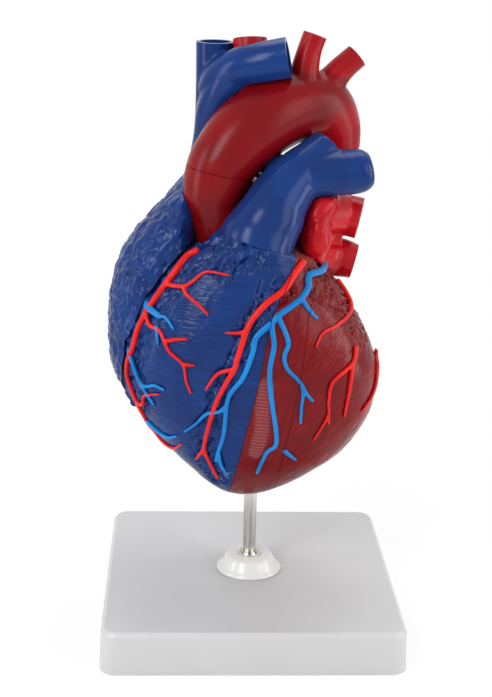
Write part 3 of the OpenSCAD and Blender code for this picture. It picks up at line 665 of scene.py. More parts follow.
# %% [markdown]
# ## The ventricles' rows and seams
#
# The numbers are the CAD model's own, apart from a few rows at the top of the ventricles and of the
# auricle, which fit the photograph better. Each row of a chamber is its height, left, right, front and
# back. Outlines are x and z as seen from the front. The two front walls come off along the strip over
# the septum, and the right one also parts from the atrium along its groove.

# %% Rows of both ventricles
VENTRICLES = [
    (80, -14, 4, -10, 7), (83.5, -21, 13, -18, 14), (90, -30, 26, -26, 22), (100, -40, 41, -35, 30),
    (111, -51, 55, -43, 38), (123, -61, 64.5, -48, 43), (137, -70, 71.5, -52, 46),
    (151, -76, 74, -54, 49), (165, -80, 74, -56, 50), (180, -80, 69, -57, 49),
    (192, -76, 63, -57, 47), (205, -70, 56, -55, 44), (218, -62, 46, -52, 39),
    (230, -51, 36, -48, 31), (242, -31, 27, -45, 20), (254, -18, 16, -38, 2)]
print("ventricles:", len(VENTRICLES), "rows, up to", VENTRICLES[-1][0], "mm high")

# %% Seams
LEFT_OF_STRIP = [
    (21, 236), (14, 220), (6, 202), (2, 175), (-3, 150), (-8, 124), (-13, 93), (-17, 60)]
RIGHT_OF_STRIP = [(33, 222), (28, 205), (24, 169), (17, 126), (14, 100), (11, 60)]
ATRIUM_GROOVE = [
    (-24, 252), (-34, 242), (-45, 235), (-54, 225), (-61, 215), (-66, 207), (-72, 192), (-76, 179),
    (-79, 164), (-79, 149), (-73, 138), (-74, 132), (-110, 126)]
SEPTUM_LEFT = [(-16, 280), (-16, 150), (-17, 93), (-21, 60)]
SEPTUM_RIGHT = [(13, 60), (16, 100), (19, 126), (26, 169), (30, 205), (35, 222), (36, 280)]
BELOW_TRUNK_SEAM = [(-110, 276.8), (110, 208.3), (110, 50), (-110, 50)]
RIGHT_SPLIT, LEFT_SPLIT = -6, 8
SEAM, SEPTUM_HALF = 0.3, 11

groove = smooth(ATRIUM_GROOVE[:-2], 6).tolist() + [ATRIUM_GROOVE[-1]]
left_seam = smooth(LEFT_OF_STRIP, 6).tolist()
right_seam = smooth(RIGHT_OF_STRIP, 6).tolist()
right_region = groove + [(-110, 60)] + left_seam[::-1]
left_region = right_seam + [(120, 60), (120, 222)]
print("seams:", len(right_region), "and", len(left_region), "points round the two front walls")

# %% [markdown]
# ## The coronary routes
#
# Arteries and veins run over the front in the grooves between the chambers, and fat lies beside them.
# So their routes are needed before the ventricles' skin. Each is x and z as seen from the front.

# %% Arteries on the front
RIGHT_ARTERY = [(-34, 238), (-42, 233), (-50, 223), (-53, 219), (-61, 207), (-65, 200), (-69, 191),
                (-72, 180), (-75, 170), (-75, 159), (-70, 144)]
RIGHT_ARTERY_BRANCHES = [
    [(-53, 219), (-43, 220), (-38, 223), (-30, 229), (-17, 228)],
    [(-43, 220), (-41, 216), (-34, 211), (-29, 206)],
    [(-64, 201), (-62, 196), (-56, 194), (-51, 184), (-43, 177), (-41, 167), (-38, 159)],
    [(-53, 189), (-47, 191), (-40, 192)],
    [(-43, 177), (-36, 177)],
    [(-70, 144), (-66, 145), (-65, 152), (-56, 156)],
    [(-70, 144), (-65, 134), (-59, 121), (-49, 117), (-43, 124)]]
LEFT_ARTERY = [(25, 234), (20, 229), (13, 220), (3, 213), (-6, 202), (-12, 184), (-14, 176),
               (-19, 166), (-24, 154), (-28, 138), (-30, 123), (-27, 114), (-21, 99)]
LEFT_ARTERY_BRANCHES = [
    [(-8, 198), (-13, 197), (-20, 197)],
    [(-14, 176), (-23, 173), (-28, 166), (-30, 162)],
    [(-30, 123), (-35, 113)]]
SIDE_ARTERIES = [
    [(47, 217), (55, 204), (45, 198), (36, 195), (32, 187)],
    [(57, 184), (55, 175), (43, 166), (41, 154), (41, 145), (33, 129)],
    [(41, 145), (42, 139)],
    [(55, 175), (53, 156), (51, 142)],
    [(73, 174), (71, 153), (62, 142)]]
ARTERY_RADIUS = 1.7
print("arteries:", len(RIGHT_ARTERY_BRANCHES + LEFT_ARTERY_BRANCHES + SIDE_ARTERIES), "branches")

# %% Veins on the front, and vessels on the back
STRIP_VEINS = [
    [(41, 226.5), (36, 226), (28, 226), (27, 220), (23, 215), (17, 211), (7, 203), (8, 190),
     (6, 174), (8, 155), (11, 137), (11, 127), (6, 122), (1, 106)],
    [(23, 215), (29, 207), (33, 203)],
    [(10, 206), (16, 192), (14, 184), (16, 176), (25, 165), (25, 151), (25, 141)],
    [(25, 165), (27, 161), (32, 155)],
    [(16, 124), (24, 116)]]
RIGHT_WALL_VEINS = [
    [(7, 203), (-2, 195), (-4, 186), (-9, 171), (-17, 158), (-19, 135), (-22, 121), (-23, 114)],
    [(-22, 121), (-20, 112), (-16, 103)],
    [(-18, 153), (-22, 149), (-29, 147), (-35, 140), (-42, 133)],
    [(-66, 208), (-58, 202), (-53, 202), (-48, 196)],
    [(-58, 197), (-57, 186)],
    [(-75, 180), (-67, 160), (-59, 161), (-53, 159)],
    [(-67, 160), (-65, 156), (-59, 147)],
    [(-64, 132), (-56, 127), (-51, 126), (-46, 129)]]
CROSSING_VEIN = [(-67, 209), (-62, 204.5), (-56, 202)]
REAR_VESSELS = [
    [(-44, 196), (-24, 200), (0, 200), (24, 200), (42, 196)],
    [(-12, 199), (-8, 176), (-4, 150), (2, 124), (4, 104)],
    [(22, 200), (28, 176), (32, 150), (28, 128)],
    [(44, 196), (52, 176), (54, 156)]]
REAR_BRANCHES = [
    [(-9, 182), (-18, 176), (-22, 166), (-31, 158)],
    [(-5, 158), (5, 150), (9, 140), (16, 133)],
    [(-2, 140), (-12, 132), (-15, 122)],
    [(27, 180), (38, 172), (41, 160)],
    [(31, 158), (22, 148), (19, 138)],
    [(51, 180), (60, 174), (64, 164)]]
VEIN_RADIUS = 1.6
print("veins:", len(STRIP_VEINS + RIGHT_WALL_VEINS), "in front,", len(REAR_VESSELS), "behind")

# %% [markdown]
# ## Valve openings and magnets
#
# Each valve sits in a round bore between two chambers, and small magnets hold the pieces together.
# Both are places on the drawing: a point, and the way it faces. They are cut as plain cylinders.

# %% Valve openings and magnets


def turned(x, y):
    """A tilt about X and then Y, in degrees."""
    about_x = Matrix.Rotation(math.radians(x), 3, "X")
    return np.array(Matrix.Rotation(math.radians(y), 3, "Y") @ about_x)


VALVES = {
    "tricuspid": ((-40, 6, 226), turned(0, -24), 15, -16, 24),
    "mitral": ((26, 20, 211), turned(-18, 14), 11, -7, 13),
    "aortic": ((-13, 0.5, 212), turned(0, -10), 11, -12, 32),
    "pulmonary": ((-3, -24, 240), turned(0, 17.3), 15, -16, 14)}
MAGNETS = {
    "right_wall": [(-49.5, -6, 110), (-8, -6, 140), (12, -6, 225)],
    "left_wall": [(53, 8, 114), (52.5, 8, 198)],
    "right_atrium": [(-28, 28, 240), (-28, 37.5, 262)],
    "left_atrium": [(47.2, 30, 236), (-21, 30, 240)]}
POCKET_RADIUS, POCKET_DEPTH = 2.15, 2.1


def valve_bore(name):
    at, turn, radius, low, high = VALVES[name]
    at = np.array(at, float)
    return rod(name + "_bore", at + turn @ (0, 0, low), at + turn @ (0, 0, high), radius, 96)


def pocket(place, way):
    """A round pocket for a magnet on a seam, sunk along one direction."""
    return rod("pocket", place - way, place + way * POCKET_DEPTH, POCKET_RADIUS, 32)


def pockets(row, way):
    return [pocket(np.array(place), np.array(way, float)) for place in MAGNETS[row]]


bores = [valve_bore(name) for name in VALVES]
print("valve openings:", ", ".join(VALVES))

# %% [markdown]
# ## Moulded relief
#
# The real model's skin isn't smooth. Fat and muscle fibres are moulded into it as lumps and wrinkles,
# up to two millimetres deep. Bump alone would leave the outline smooth, and sculpting them would fix
# them for good. A Geometry Nodes tree moves each point along its normal by noise, so the lumps are
# real geometry with sizes that can be set. Two attributes say where: "lumpy" and "sunk".

# %% A Geometry Nodes tree with named inputs


class Form(Builder):
    """A Geometry Nodes tree, built one node at a time."""

    def __init__(self, name, **sizes):
        super().__init__(bpy.data.node_groups.new(name, "GeometryNodeTree"))
        for way in ("INPUT", "OUTPUT"):
            self.new_socket("Geometry", way, "NodeSocketGeometry")
        self.sockets = {}
        for key, value in sizes.items():
            made = self.new_socket(key, "INPUT", "NodeSocketFloat")
            made.default_value = value
            self.sockets[key] = made.identifier
        self.sockets["Paint"] = self.new_socket("Paint", "INPUT", "NodeSocketMaterial").identifier
        self.given = self.tree.nodes.new("NodeGroupInput")
        self.geometry = self.size("Geometry")

    def new_socket(self, name, way, kind):
        return self.tree.interface.new_socket(name, in_out=way, socket_type=kind)

    def size(self, key):
        return Sum(self, self.given.outputs[key])

    def attribute(self, name):
        settings = {"data_type": "FLOAT"}
        return self.node("GeometryNodeInputNamedAttribute", settings, {"Name": name})

    def end(self, geometry):
        """Every tree ends in real geometry with its material set."""
        real = self.node("GeometryNodeRealizeInstances", {}, {"Geometry": geometry})
        inputs = {"Geometry": real, "Material": self.size("Paint")}
        painted = self.node("GeometryNodeSetMaterial", {}, inputs)
        self.fill(self.tree.nodes.new("NodeGroupOutput").inputs[0], painted)

    def apply(self, made, paint, **sizes):
        """Runs the tree on an object and bakes the result into its mesh."""
        modifier = made.modifiers.new(self.tree.name, "NODES")
        modifier.node_group = self.tree
        modifier[self.sockets["Paint"]] = paint.material
        for key, value in sizes.items():
            modifier[self.sockets[key]] = value
        return bake(made)


print("a form can be given", [n for n in vars(Form) if "_" not in n])

# %% [markdown]
# ## Lumps of fat and ridges of muscle
#
# On the real skin the fat looks like cobbles: rounded lumps that touch, with sharp creases between.
# Plain noise has no creases. Voronoi cells have them, and the distance from a cell's centre makes a
# dome. The cells are bent by noise so that they don't look like a net, and drawn out along a slant, so
# that the same tree also gives the ridges inside a chamber.

# %% The relief tree
HIGHEST = 0.00038
relief = Form("moulded_relief", Lump=0.005, Depth=0.0012, Stretch=1.4, Wrinkle=0.004,
              Crease=0.0003, Slant=0.8, Seed=3.0)
where = relief.node("GeometryNodeInputPosition", {}, {})
normal = relief.node("GeometryNodeInputNormal", {}, {})
turned_place = relief.node("ShaderNodeVectorRotate", {"rotation_type": "Y_AXIS"},
                           {"Vector": where, "Angle": relief.size("Slant")})


def drawn_out(stretch):
    """The place on the heart, shorter along the slant so that a pattern grows long."""
    factors = relief.node("ShaderNodeCombineXYZ", {}, {0: 1.0 / stretch, 1: 0.8, 2: 1.0})
    return relief.vector("MULTIPLY", turned_place, factors)


def relief_noise(size, stretch, distortion, output=0):
    """Noise of one size, drawn out along the slant."""
    inputs = {"Vector": drawn_out(stretch), "W": relief.size("Seed"), "Scale": 1.0 / size,
              "Detail": 1.0, "Distortion": distortion}
    return relief.node("ShaderNodeTexNoise", {"noise_dimensions": "4D"}, inputs, output)


def cobbles(size, stretch):
    """Rounded lumps with creases between: 0 on top of a lump, and about 1 in a crease."""
    bend = relief.scaled(relief_noise(size, 1.0, 0.0, "Color"), 1.5)
    bent = relief.vector("ADD", relief.scaled(drawn_out(stretch), 1.0 / size), bend)
    cells = relief.node("ShaderNodeTexVoronoi", {"voronoi_dimensions": "3D"}, {
        "Vector": bent, "Scale": 1.0, "Randomness": 1.0}, "Distance")
    return (cells * 1.35).power(2)


lumps = cobbles(relief.size("Lump"), relief.size("Stretch")) * -1
wrinkles = relief_noise(relief.size("Wrinkle"), 2.5, 0.3) - 0.55
height = (lumps * relief.size("Depth") + HIGHEST) * relief.attribute("lumpy")
height = height + wrinkles * relief.size("Crease") * 3 - relief.attribute("sunk")
offset = relief.scaled(normal, height.at_most(HIGHEST))
relief.end(relief.node("GeometryNodeSetPosition", {}, {
    "Geometry": relief.geometry, "Offset": offset}))
print("relief inputs:", ", ".join(relief.sockets))

# %% [markdown]
# ## Attributes
#
# The tree needs to know where it may work. Weights could be painted by hand, but they would be lost
# when a row changes. Here a number for each point is worked out from its distance to a route.

# %% Attributes on a mesh


def points_of(made):
    """A mesh's points as an array, in millimetres."""
    flat = np.empty(len(made.data.vertices) * 3, np.float32)
    made.data.vertices.foreach_get("co", flat)
    return flat.reshape(-1, 3).astype(float) / MM


def write(made, name, values):
    """Stores one number a point."""
    layer = made.data.attributes.get(name) or made.data.attributes.new(name, "FLOAT", "POINT")
    layer.data.foreach_set("value", np.ascontiguousarray(values, dtype=np.float32))


def distance(points, line):
    """How far each point is from a line through others, in the line's own number of directions."""
    line = np.array(line, float)
    best = np.full(len(points), 1e9)
    for start, end in zip(line[:-1], line[1:]):
        along = end - start
        share = np.clip(((points - start) @ along) / max(along @ along, 1e-9), 0, 1)
        best = np.minimum(best, np.linalg.norm(points - start - share[:, None] * along, axis=1))
    return best


def fade(values, full, none):
    """1 at full and beyond, 0 at none and beyond, smooth between."""
    t = np.clip((values - none) / (full - none), 0, 1)
    return t * t * (3 - 2 * t)


print("helpers for attributes are ready")

# %% [markdown]
# ## Both ventricles
#
# The front of the heart is one form under three paints. Making each wall by itself would leave steps
# at the seams, so the form is made once, with its relief, and then cut into its five walls. On the
# front, fat lies in a lumpy band along the coronary arteries, and fine fibres run obliquely between. A
# shallow furrow borders the band on its left. On the back, fat lies along the rear vessels.

# %% Where fat and furrows lie
BAND_FURROW = [(0, 226), (-4, 212), (-9, 200), (-17, 184), (-22, 170), (-28, 152), (-33, 140)]
TOP_FURROW = [(-16, 226), (-14, 233), (-8, 238), (0, 238), (6, 232)]
FAT_BANDS = [
    (RIGHT_ARTERY, 6.5, 11), (LEFT_ARTERY[2:], 5, 9.5),
    ([(-32, 244), (-20, 236), (-6, 240)], 7, 13),
    ([(36, 222), (48, 214), (58, 204), (66, 190)], 7, 12)]
SMOOTHEST = 0.05
BAND_SUNK, BAND_WIDTH = 1.4, 0.8
TOP_SUNK, TOP_WIDTH = 1.2, 0.7


def ventricle_masks(made):
    """Writes where the ventricles' skin is lumpy with fat, and where a furrow is sunk in it."""
    points = points_of(made)
    flat, front, behind = points[:, [0, 2]], fade(points[:, 1], -2, 10), fade(points[:, 1], 6, -4)
    fat = np.max([fade(distance(flat, route), full, none) for route, full, none in FAT_BANDS], 0)
    rear = np.min([distance(flat, route) for route in REAR_VESSELS], 0)
    lumpy = np.maximum(fat * front, fade(rear, 6, 11) * behind)
    write(made, "lumpy", SMOOTHEST + (1 - SMOOTHEST) * lumpy)
    band = BAND_SUNK * np.exp(-(distance(flat, BAND_FURROW) / BAND_WIDTH) ** 2)
    top = TOP_SUNK * np.exp(-(distance(flat, TOP_FURROW) / TOP_WIDTH) ** 2)
    write(made, "sunk", np.maximum(band, top) * front * MM)


print("fat lies in", len(FAT_BANDS), "bands in front")

# %% The ventricles' skin
ventricle_form = blob("ventricles", VENTRICLES, spacing=0.85, rounded=1.5)
ventricle_masks(ventricle_form)
relief.apply(ventricle_form, blue_paint, Lump=0.0050, Depth=0.0022, Stretch=1.5, Wrinkle=0.005,
             Crease=0.00016, Slant=0.9)
ventricle_form = within(ventricle_form, through("below_trunk_seam", BELOW_TRUNK_SEAM))
ventricle_room = within(blob("ventricle_room", VENTRICLES, -0.55, 2.5),
                        through("below_trunk_seam_room", BELOW_TRUNK_SEAM, grow=SEAM))
print("ventricles:", len(ventricle_form.data.polygons), "faces")

# %% [markdown]
# ## The chambers inside
#
# With a wall off, one looks into a chamber whose sides are ridged with muscle. Thickening the outer
# skin inwards would carry its lumps inside too. So each room is a form of its own, smaller by the
# wall, with relief that is drawn out into ridges, and is cut from the heart.

# %% Rooms with ridged walls
RIGHT_WALL, LEFT_WALL = 6, 11
TRABECULAE = {"Lump": 0.006, "Depth": 0.0016, "Stretch": 3.0, "Wrinkle": 0.006,
              "Crease": 0.0003, "Slant": 1.3}
OUTFLOW = [(28, 2, 170, 9), (10, 1, 190, 9.5), (-4, 1, 202, 10), (-13, 0.5, 213, 10)]


def everywhere(made, lumpy=1.0):
    """Relief all over, with no furrow. One number will do, or one for each point."""
    count = len(made.data.vertices)
    write(made, "lumpy", np.full(count, lumpy))
    write(made, "sunk", np.zeros(count))


def rows_between(table, low, high):
    return [row for row in table if low <= row[0] <= high]


def ridged(name, low, high, wall, paint):
    """A room in the ventricles, from one height to another."""
    made = blob(name, rows_between(VENTRICLES, low, high), wall, 1.8)
    everywhere(made)
    return relief.apply(made, paint, **TRABECULAE)


half = SEPTUM_HALF
left_of_septum = through("left_of_septum", [(-120, 270), (-half, 270), (-half, 50), (-120, 50)])
right_of_septum = through("right_of_septum", [(half, 300), (150, 300), (150, 50), (half, 50)])
behind_front = through("behind_front", right_region, -200, RIGHT_SPLIT - 8, -RIGHT_WALL)
right_chamber = within(ridged("right_room", 96, 245, RIGHT_WALL, blue_paint),
                       join(left_of_septum, behind_front))
left_chamber = within(ridged("left_room", 99, 220, LEFT_WALL, dark_red_paint), right_of_septum)
outflow = tube("outflow", OUTFLOW, spacing=1.5)
print("chambers:", len(right_chamber.data.polygons) + len(left_chamber.data.polygons), "faces")

# %% [markdown]
# ## The five walls
#
# Two walls come off at the front, and the septum and both rear walls stay on the rod. A prism with a
# seam's outline keeps each front wall, shrunk by the seam's width, so that a dark line shows between.

# %% Cut the walls apart
ROD_BORE, ROD_TOP = 6.05, 152.0
FORWARD, BACKWARD = (0, -1, 0), (0, 1, 0)
right_keep = through("right_keep", right_region, back=RIGHT_SPLIT - SEAM, grow=-SEAM)
left_keep = through("left_keep", left_region, back=LEFT_SPLIT - SEAM, grow=-SEAM)
right_wall = cut(within(ventricle_form, right_keep), right_chamber, *bores,
                 *pockets("right_wall", FORWARD))
left_wall = cut(within(ventricle_form, left_keep), left_chamber, *pockets("left_wall", FORWARD))
heart_body = cut(ventricle_form, through("right_gap", right_region, back=RIGHT_SPLIT),
                 through("left_gap", left_region, back=LEFT_SPLIT), right_chamber, left_chamber,
                 outflow, *bores, rod("rod_bore", (0, 0, 0), (0, 0, ROD_TOP), ROD_BORE),
                 *pockets("right_wall", BACKWARD), *pockets("left_wall", BACKWARD))
septum = within(heart_body, through("septum_region", SEPTUM_LEFT + SEPTUM_RIGHT))
right_rear = within(heart_body, through("right_rear", SEPTUM_LEFT + [(-120, 60), (-120, 280)]))
left_rear = within(heart_body, through("left_rear", SEPTUM_RIGHT + [(120, 280), (120, 60)]))
for wall in (right_wall, left_wall, septum, right_rear, left_rear):
    print(wall.name, len(wall.data.polygons), "faces")

# %% [markdown]
# ## The atria
#
# The right atrium bulges at the left of the photograph, over the ventricle. It is wrinkled on the
# slant. Each atrium is a shell, a form with a smaller one cut out, that is parted at a plane, so that
# its outer wall comes off. Each leaves a little room round its neighbours.

# %% Rows of the right atrium, the aorta and the lower vein
RIGHT_ATRIUM = [
    (134, -73, -58, -6, 12), (137, -76, -52, -14, 22), (146, -79.5, -45, -22, 30),
    (157, -85, -40, -26, 36), (170, -88, -36, -28, 39), (190, -88.5, -33, -29, 41),
    (205, -87.5, -30, -29, 42), (219, -84.5, -27, -29, 42), (230, -80.5, -25, -28, 42),
    (241, -73.5, -23, -26, 42), (252, -63.5, -20, -22, 42), (263, -53, -18, -14, 42),
    (272, -45, -17, 2, 42), (280, -41.5, -16, 15, 42)]
AORTIC_ROOT = [(-12, 0, 206, 14.5), (-16, 1, 222, 15.5), (-21.5, 1, 242, 17), (-25.8, -0.5, 260, 17.6),
               (-25.5, -1.5, 270, 18.6), (-22.8, -1.5, 281, 19.5), (-17, 0, 290, 20.6)]
ARCH = [(-25.5, -1.5, 270, 18.6), (-22.8, -1.5, 281, 19.5), (-17, 0, 290, 20.6), (-8, 4, 300, 21.8),
        (5, 9, 309.5, 22), (21, 17, 315.5, 21.5), (36, 25, 314, 20), (43.5, 30, 303, 18.5),
        (45, 32, 289, 17.5)]
LOWER_CAVA = [(-58, 36, 186, 9), (-60, 42, 170, 11), (-62, 48, 152, 11.5), (-62, 49, 132, 11.5)]
RIGHT_ATRIUM_SPLIT, LEFT_ATRIUM_SPLIT = -28, 30
ATRIUM_WALL, VEIN_WALL = 5, 2.5
VESSEL_ROOM = 0.45
arch_room = tube("arch_room", ARCH, -VESSEL_ROOM, spacing=1.5)
root_form = tube("root", AORTIC_ROOT)
root_room = tube("root_room", AORTIC_ROOT, -SEAM, spacing=1.5)
print("right atrium:", len(RIGHT_ATRIUM), "rows, and", len(ARCH), "points along the arch")

# %% The right atrium


def beside_the_root(made):
    """Lets the atrium's front fall back at its right, so that the aorta's root stands before it."""
    points = points_of(made)
    x, y, z = points.T
    share = fade(x, -30, -47) * fade(z, 240, 226) * fade(y, 2, 12)
    points[:, 1] += share * (9 - y) * 0.75
    made.data.vertices.foreach_set("co", (points * MM).astype(np.float32).ravel())
    made.data.update()
    return made


right_atrium_form = beside_the_root(blob("right_atrium", RIGHT_ATRIUM, spacing=0.9, rounded=1.2))
x, y, z = points_of(right_atrium_form).T
everywhere(right_atrium_form, 0.9 - 0.6 * fade(x, -38, -54) * fade(z, 236, 222))
relief.apply(right_atrium_form, blue_paint, Lump=0.0052, Depth=0.0016, Stretch=1.7,
             Wrinkle=0.014, Crease=0.0002, Slant=0.95)
right_atrium_hollow = beside_the_root(blob(
    "right_atrium_hollow", rows_between(RIGHT_ATRIUM, 140, 275), ATRIUM_WALL, 1.8))
right_shell = cut(right_atrium_form, right_atrium_hollow,
                  rod("cava_way", (-28, 29.5, 262), (-28, 29.5, 302), 8.5), ventricle_room,
                  through("right_gap_room", right_region, back=RIGHT_SPLIT, grow=SEAM),
                  root_room, arch_room)
print("right atrium:", len(right_shell.data.polygons), "faces")

# %% Part the right atrium
lower_cava_form = tube("lower_cava", LOWER_CAVA, across=(1, 0, 0))
beyond_split = block("beyond_split", (-250, -100, 100), (RIGHT_ATRIUM_SPLIT, 120, 320))
inside_split = block("inside_split", (RIGHT_ATRIUM_SPLIT - SEAM, -100, 100), (170, 120, 320))
right_atrium_inner = cut(right_shell, beyond_split, *pockets("right_atrium", (1, 0, 0)))
right_atrium_outer = cut(right_shell, inside_split, lower_cava_form,
                         *pockets("right_atrium", (-1, 0, 0)))
lower_cava_bore = tube("lower_cava_bore", LOWER_CAVA, VEIN_WALL, (1, 0, 0), past=0.3)
lower_cava = cut(lower_cava_form, lower_cava_bore, right_atrium_hollow, ventricle_room)
print("right atrium:", len(right_atrium_outer.data.polygons), "faces outside")

# %% [markdown]
# ## The left atrium
#
# It lies at the back, behind the aorta, and its rear wall with two veins pulls off. It is smoother
# than the right one. The photograph shows only its auricle and its left veins, so the rest follows
# the anatomy: a flattened bag that opens downwards through the mitral valve.

# %% Rows of the left atrium, its auricle and its veins
LEFT_ATRIUM = [
    (199, -2, 26, 14, 30), (203, -12, 36, 10, 38), (212, -20, 44, 8, 46), (225, -24, 48, 7, 51),
    (240, -24, 50, 7, 53), (252, -22, 48, 9, 52), (262, -18, 42, 14, 48), (268, -10, 33, 20, 42),
    (270, 0, 24, 26, 37)]
AURICLE = [
    (222, 31, 38, -14, -4), (226, 28, 41, -20, 2), (236, 25, 43, -24, 8), (246, 24, 44, -25, 12),
    (255, 26, 44, -23, 12), (260, 26, 47, -21, 13), (266, 27.5, 48, -17, 11), (268, 30, 46, -12, 8)]
LEFT_VEINS = [
    [(32, 19, 252, 11), (42, 16, 253, 12.4), (52, 13, 252, 12.4), (62, 11, 250, 12.4)],
    [(32, 19, 226, 10), (42, 16, 226, 11.6), (52, 14, 225, 11.8), (60, 13, 223, 10.5)]]
VEIN_WEBS = [[(34, -4, 254, 11.5), (42, 4, 254, 12), (50, 11, 253, 12)],
             [(32, 6, 240, 11), (42, 13, 239.5, 10), (51, 14, 239, 8.5)],
             [(33, -2, 230, 9), (41, 8, 227, 10.5), (48, 13, 226, 11)]]
RIGHT_VEINS = [
    [(-4, 37, 250, 8), (-22, 50, 251, 8), (-36, 55, 251, 8.2), (-45, 56, 250, 8.2)],
    [(-4, 37, 231, 8), (-22, 50, 232, 8), (-40, 55, 232, 8.2), (-50, 56, 230, 8.2)]]
print("left atrium:", len(LEFT_ATRIUM), "rows, and", len(LEFT_VEINS + RIGHT_VEINS), "veins")

# %% The left atrium
left_atrium_form = blob("left_atrium", LEFT_ATRIUM, spacing=0.9, rounded=1.2)
everywhere(left_atrium_form, 0.9)
relief.apply(left_atrium_form, red_paint, Lump=0.009, Depth=0.0007, Stretch=2.0,
             Wrinkle=0.006, Crease=0.0003, Slant=-0.6)
left_atrium_hollow = blob("left_atrium_hollow", rows_between(LEFT_ATRIUM, 203, 262),
                          ATRIUM_WALL, 1.8)
mitral_at, mitral_turn, mitral_radius = np.array(VALVES["mitral"][0], float), *VALVES["mitral"][1:3]
mitral_way = rod("mitral_way", mitral_at, mitral_at + mitral_turn @ (0, 0, 20), mitral_radius, 96)
right_atrium_room = blob("right_atrium_room", RIGHT_ATRIUM, -0.5, 1.5)
left_shell = cut(left_atrium_form, left_atrium_hollow, ventricle_form, right_atrium_room,
                 root_room, mitral_way)
print("left atrium:", len(left_shell.data.polygons), "faces")

# %% Part the left atrium
vein_bores = [tube("vein_bore", route, VEIN_WALL, past=0.3) for route in LEFT_VEINS]
rear_bores = [tube("rear_bore", route, VEIN_WALL, (0, 0, 1), past=0.3) for route in RIGHT_VEINS]
behind_split = block("behind_split", (-100, LEFT_ATRIUM_SPLIT, 100), (100, 230, 320))
before_split = block("before_split", (-100, -170, 100), (100, LEFT_ATRIUM_SPLIT + SEAM, 320))
left_atrium_front = cut(left_shell, behind_split, *pockets("left_atrium", FORWARD), *vein_bores)
left_atrium_rear = cut(left_shell, before_split, *pockets("left_atrium", BACKWARD), *rear_bores)
left_atrium_core = blob("left_atrium_core", LEFT_ATRIUM, spacing=1.5)
right_vein_forms = [tube("right_vein", route, across=(0, 0, 1)) for route in RIGHT_VEINS]
right_veins = cut(join(*right_vein_forms), *rear_bores, left_atrium_core, right_atrium_room)
print("left atrium:", len(left_atrium_front.data.polygons), "faces in front")

# %% [markdown]
# ## The auricle
#
# Beside the pulmonary trunk hangs a soft, folded ear of the left atrium, and two open veins leave
# behind it. In the photograph they run into one another. Cut apart, they would look like stacked
# pipes, so the ear, the veins and a few webs between them are melted into one form.

# %% Rows of the pulmonary trunk
TRUNK = [(-3, -22, 232, 23), (-1, -22, 242, 22.8), (3, -21, 250, 20.6), (7, -19.5, 257, 18.6),
         (11, -16.5, 265, 17), (17, -12.5, 273, 15.6), (24, -8.5, 280.5, 14.5), (32, -4, 287, 12.8),
         (40, 1, 293.5, 11.8)]
LEFT_BRANCH = [(20, -12, 276, 13), (31, -9, 279, 13.5), (42, -7, 280, 13.5), (54, -5, 280.6, 13.2),
               (60.5, -4.5, 281.6, 12.6), (64.5, -4, 282.4, 10)]
trunk_rooms = [tube("trunk_room", [(x, y, z + lift, r) for x, y, z, r in TRUNK], -VESSEL_ROOM,
                    spacing=1.5) for lift in (0, 10)]
left_branch_room = tube("left_branch_room", LEFT_BRANCH, -VESSEL_ROOM, spacing=1.5)
print("pulmonary trunk:", len(TRUNK), "points")

# %% The auricle with its veins
auricle_form = blob("auricle", AURICLE, spacing=0.7, rounded=1.2)
everywhere(auricle_form)
relief.apply(auricle_form, red_paint, Lump=0.012, Depth=0.0017, Stretch=1.8,
             Wrinkle=0.009, Crease=0.0003, Slant=0.5)
auricle = melt(join(auricle_form, *[tube("web", route) for route in VEIN_WEBS],
                    *[tube("vein", longer(route)) for route in LEFT_VEINS]), 0.7, 8)
auricle = cut(auricle, *[beyond_end(route, 1.2) for route in LEFT_VEINS], *vein_bores,
              ventricle_room, left_atrium_core, *trunk_rooms, left_branch_room)
print("auricle:", len(auricle.data.polygons), "faces")

# %% [markdown]
# ## The great vessels
#
# Vessels that belong together are melted into one skin, as a mould would give them: a voxel remesh
# joins the tubes, and a few rounds of smoothing leave a soft fillet where a branch leaves the arch.
# The seams and the cut ends are made after that, so that they stay crisp.

# %% Seam and ends of the aorta
VESSEL_WALL, BRANCH_WALL = 5, 2
LUMEN_DEPTH = 9
VESSEL_VOXEL = 0.9
AORTA_MAGNETS = 16.9
AORTA_SEAM, AORTA_TILT = np.array((-23, -1.5, 279.3)), turned(0, 10.8)
AORTA_NORMAL = AORTA_TILT @ (0, 0, 1)


def aorta_half(name, side, gap):
    """A block that lies above the aorta's seam, or below it with side -1."""
    ring = np.array([(-50, -50, 0), (50, -50, 0), (50, 50, 0), (-50, 50, 0)], float)
    base = AORTA_SEAM + (AORTA_TILT @ ring.T).T + AORTA_NORMAL * gap
    return skin(name, np.stack([base, base + AORTA_NORMAL * 100 * side]))


def aorta_pockets(way):
    """Both magnets' pockets in the aorta's seam, sunk upwards, or downwards with way -1."""
    places = [AORTA_SEAM + AORTA_TILT @ (side * AORTA_MAGNETS, 0, 0) for side in (-1, 1)]
    return [pocket(place, AORTA_NORMAL * way) for place in places]


def blind_end(route, wall):
    """A blind opening in a vessel's last end."""
    route = np.array(route, float)
    end, along = route[-1, :3], way_out(route)
    return rod("blind_end", end - along * LUMEN_DEPTH, end + along, route[-1, 3] - wall, 64)


print("the aorta's seam faces", AORTA_NORMAL.round(2))

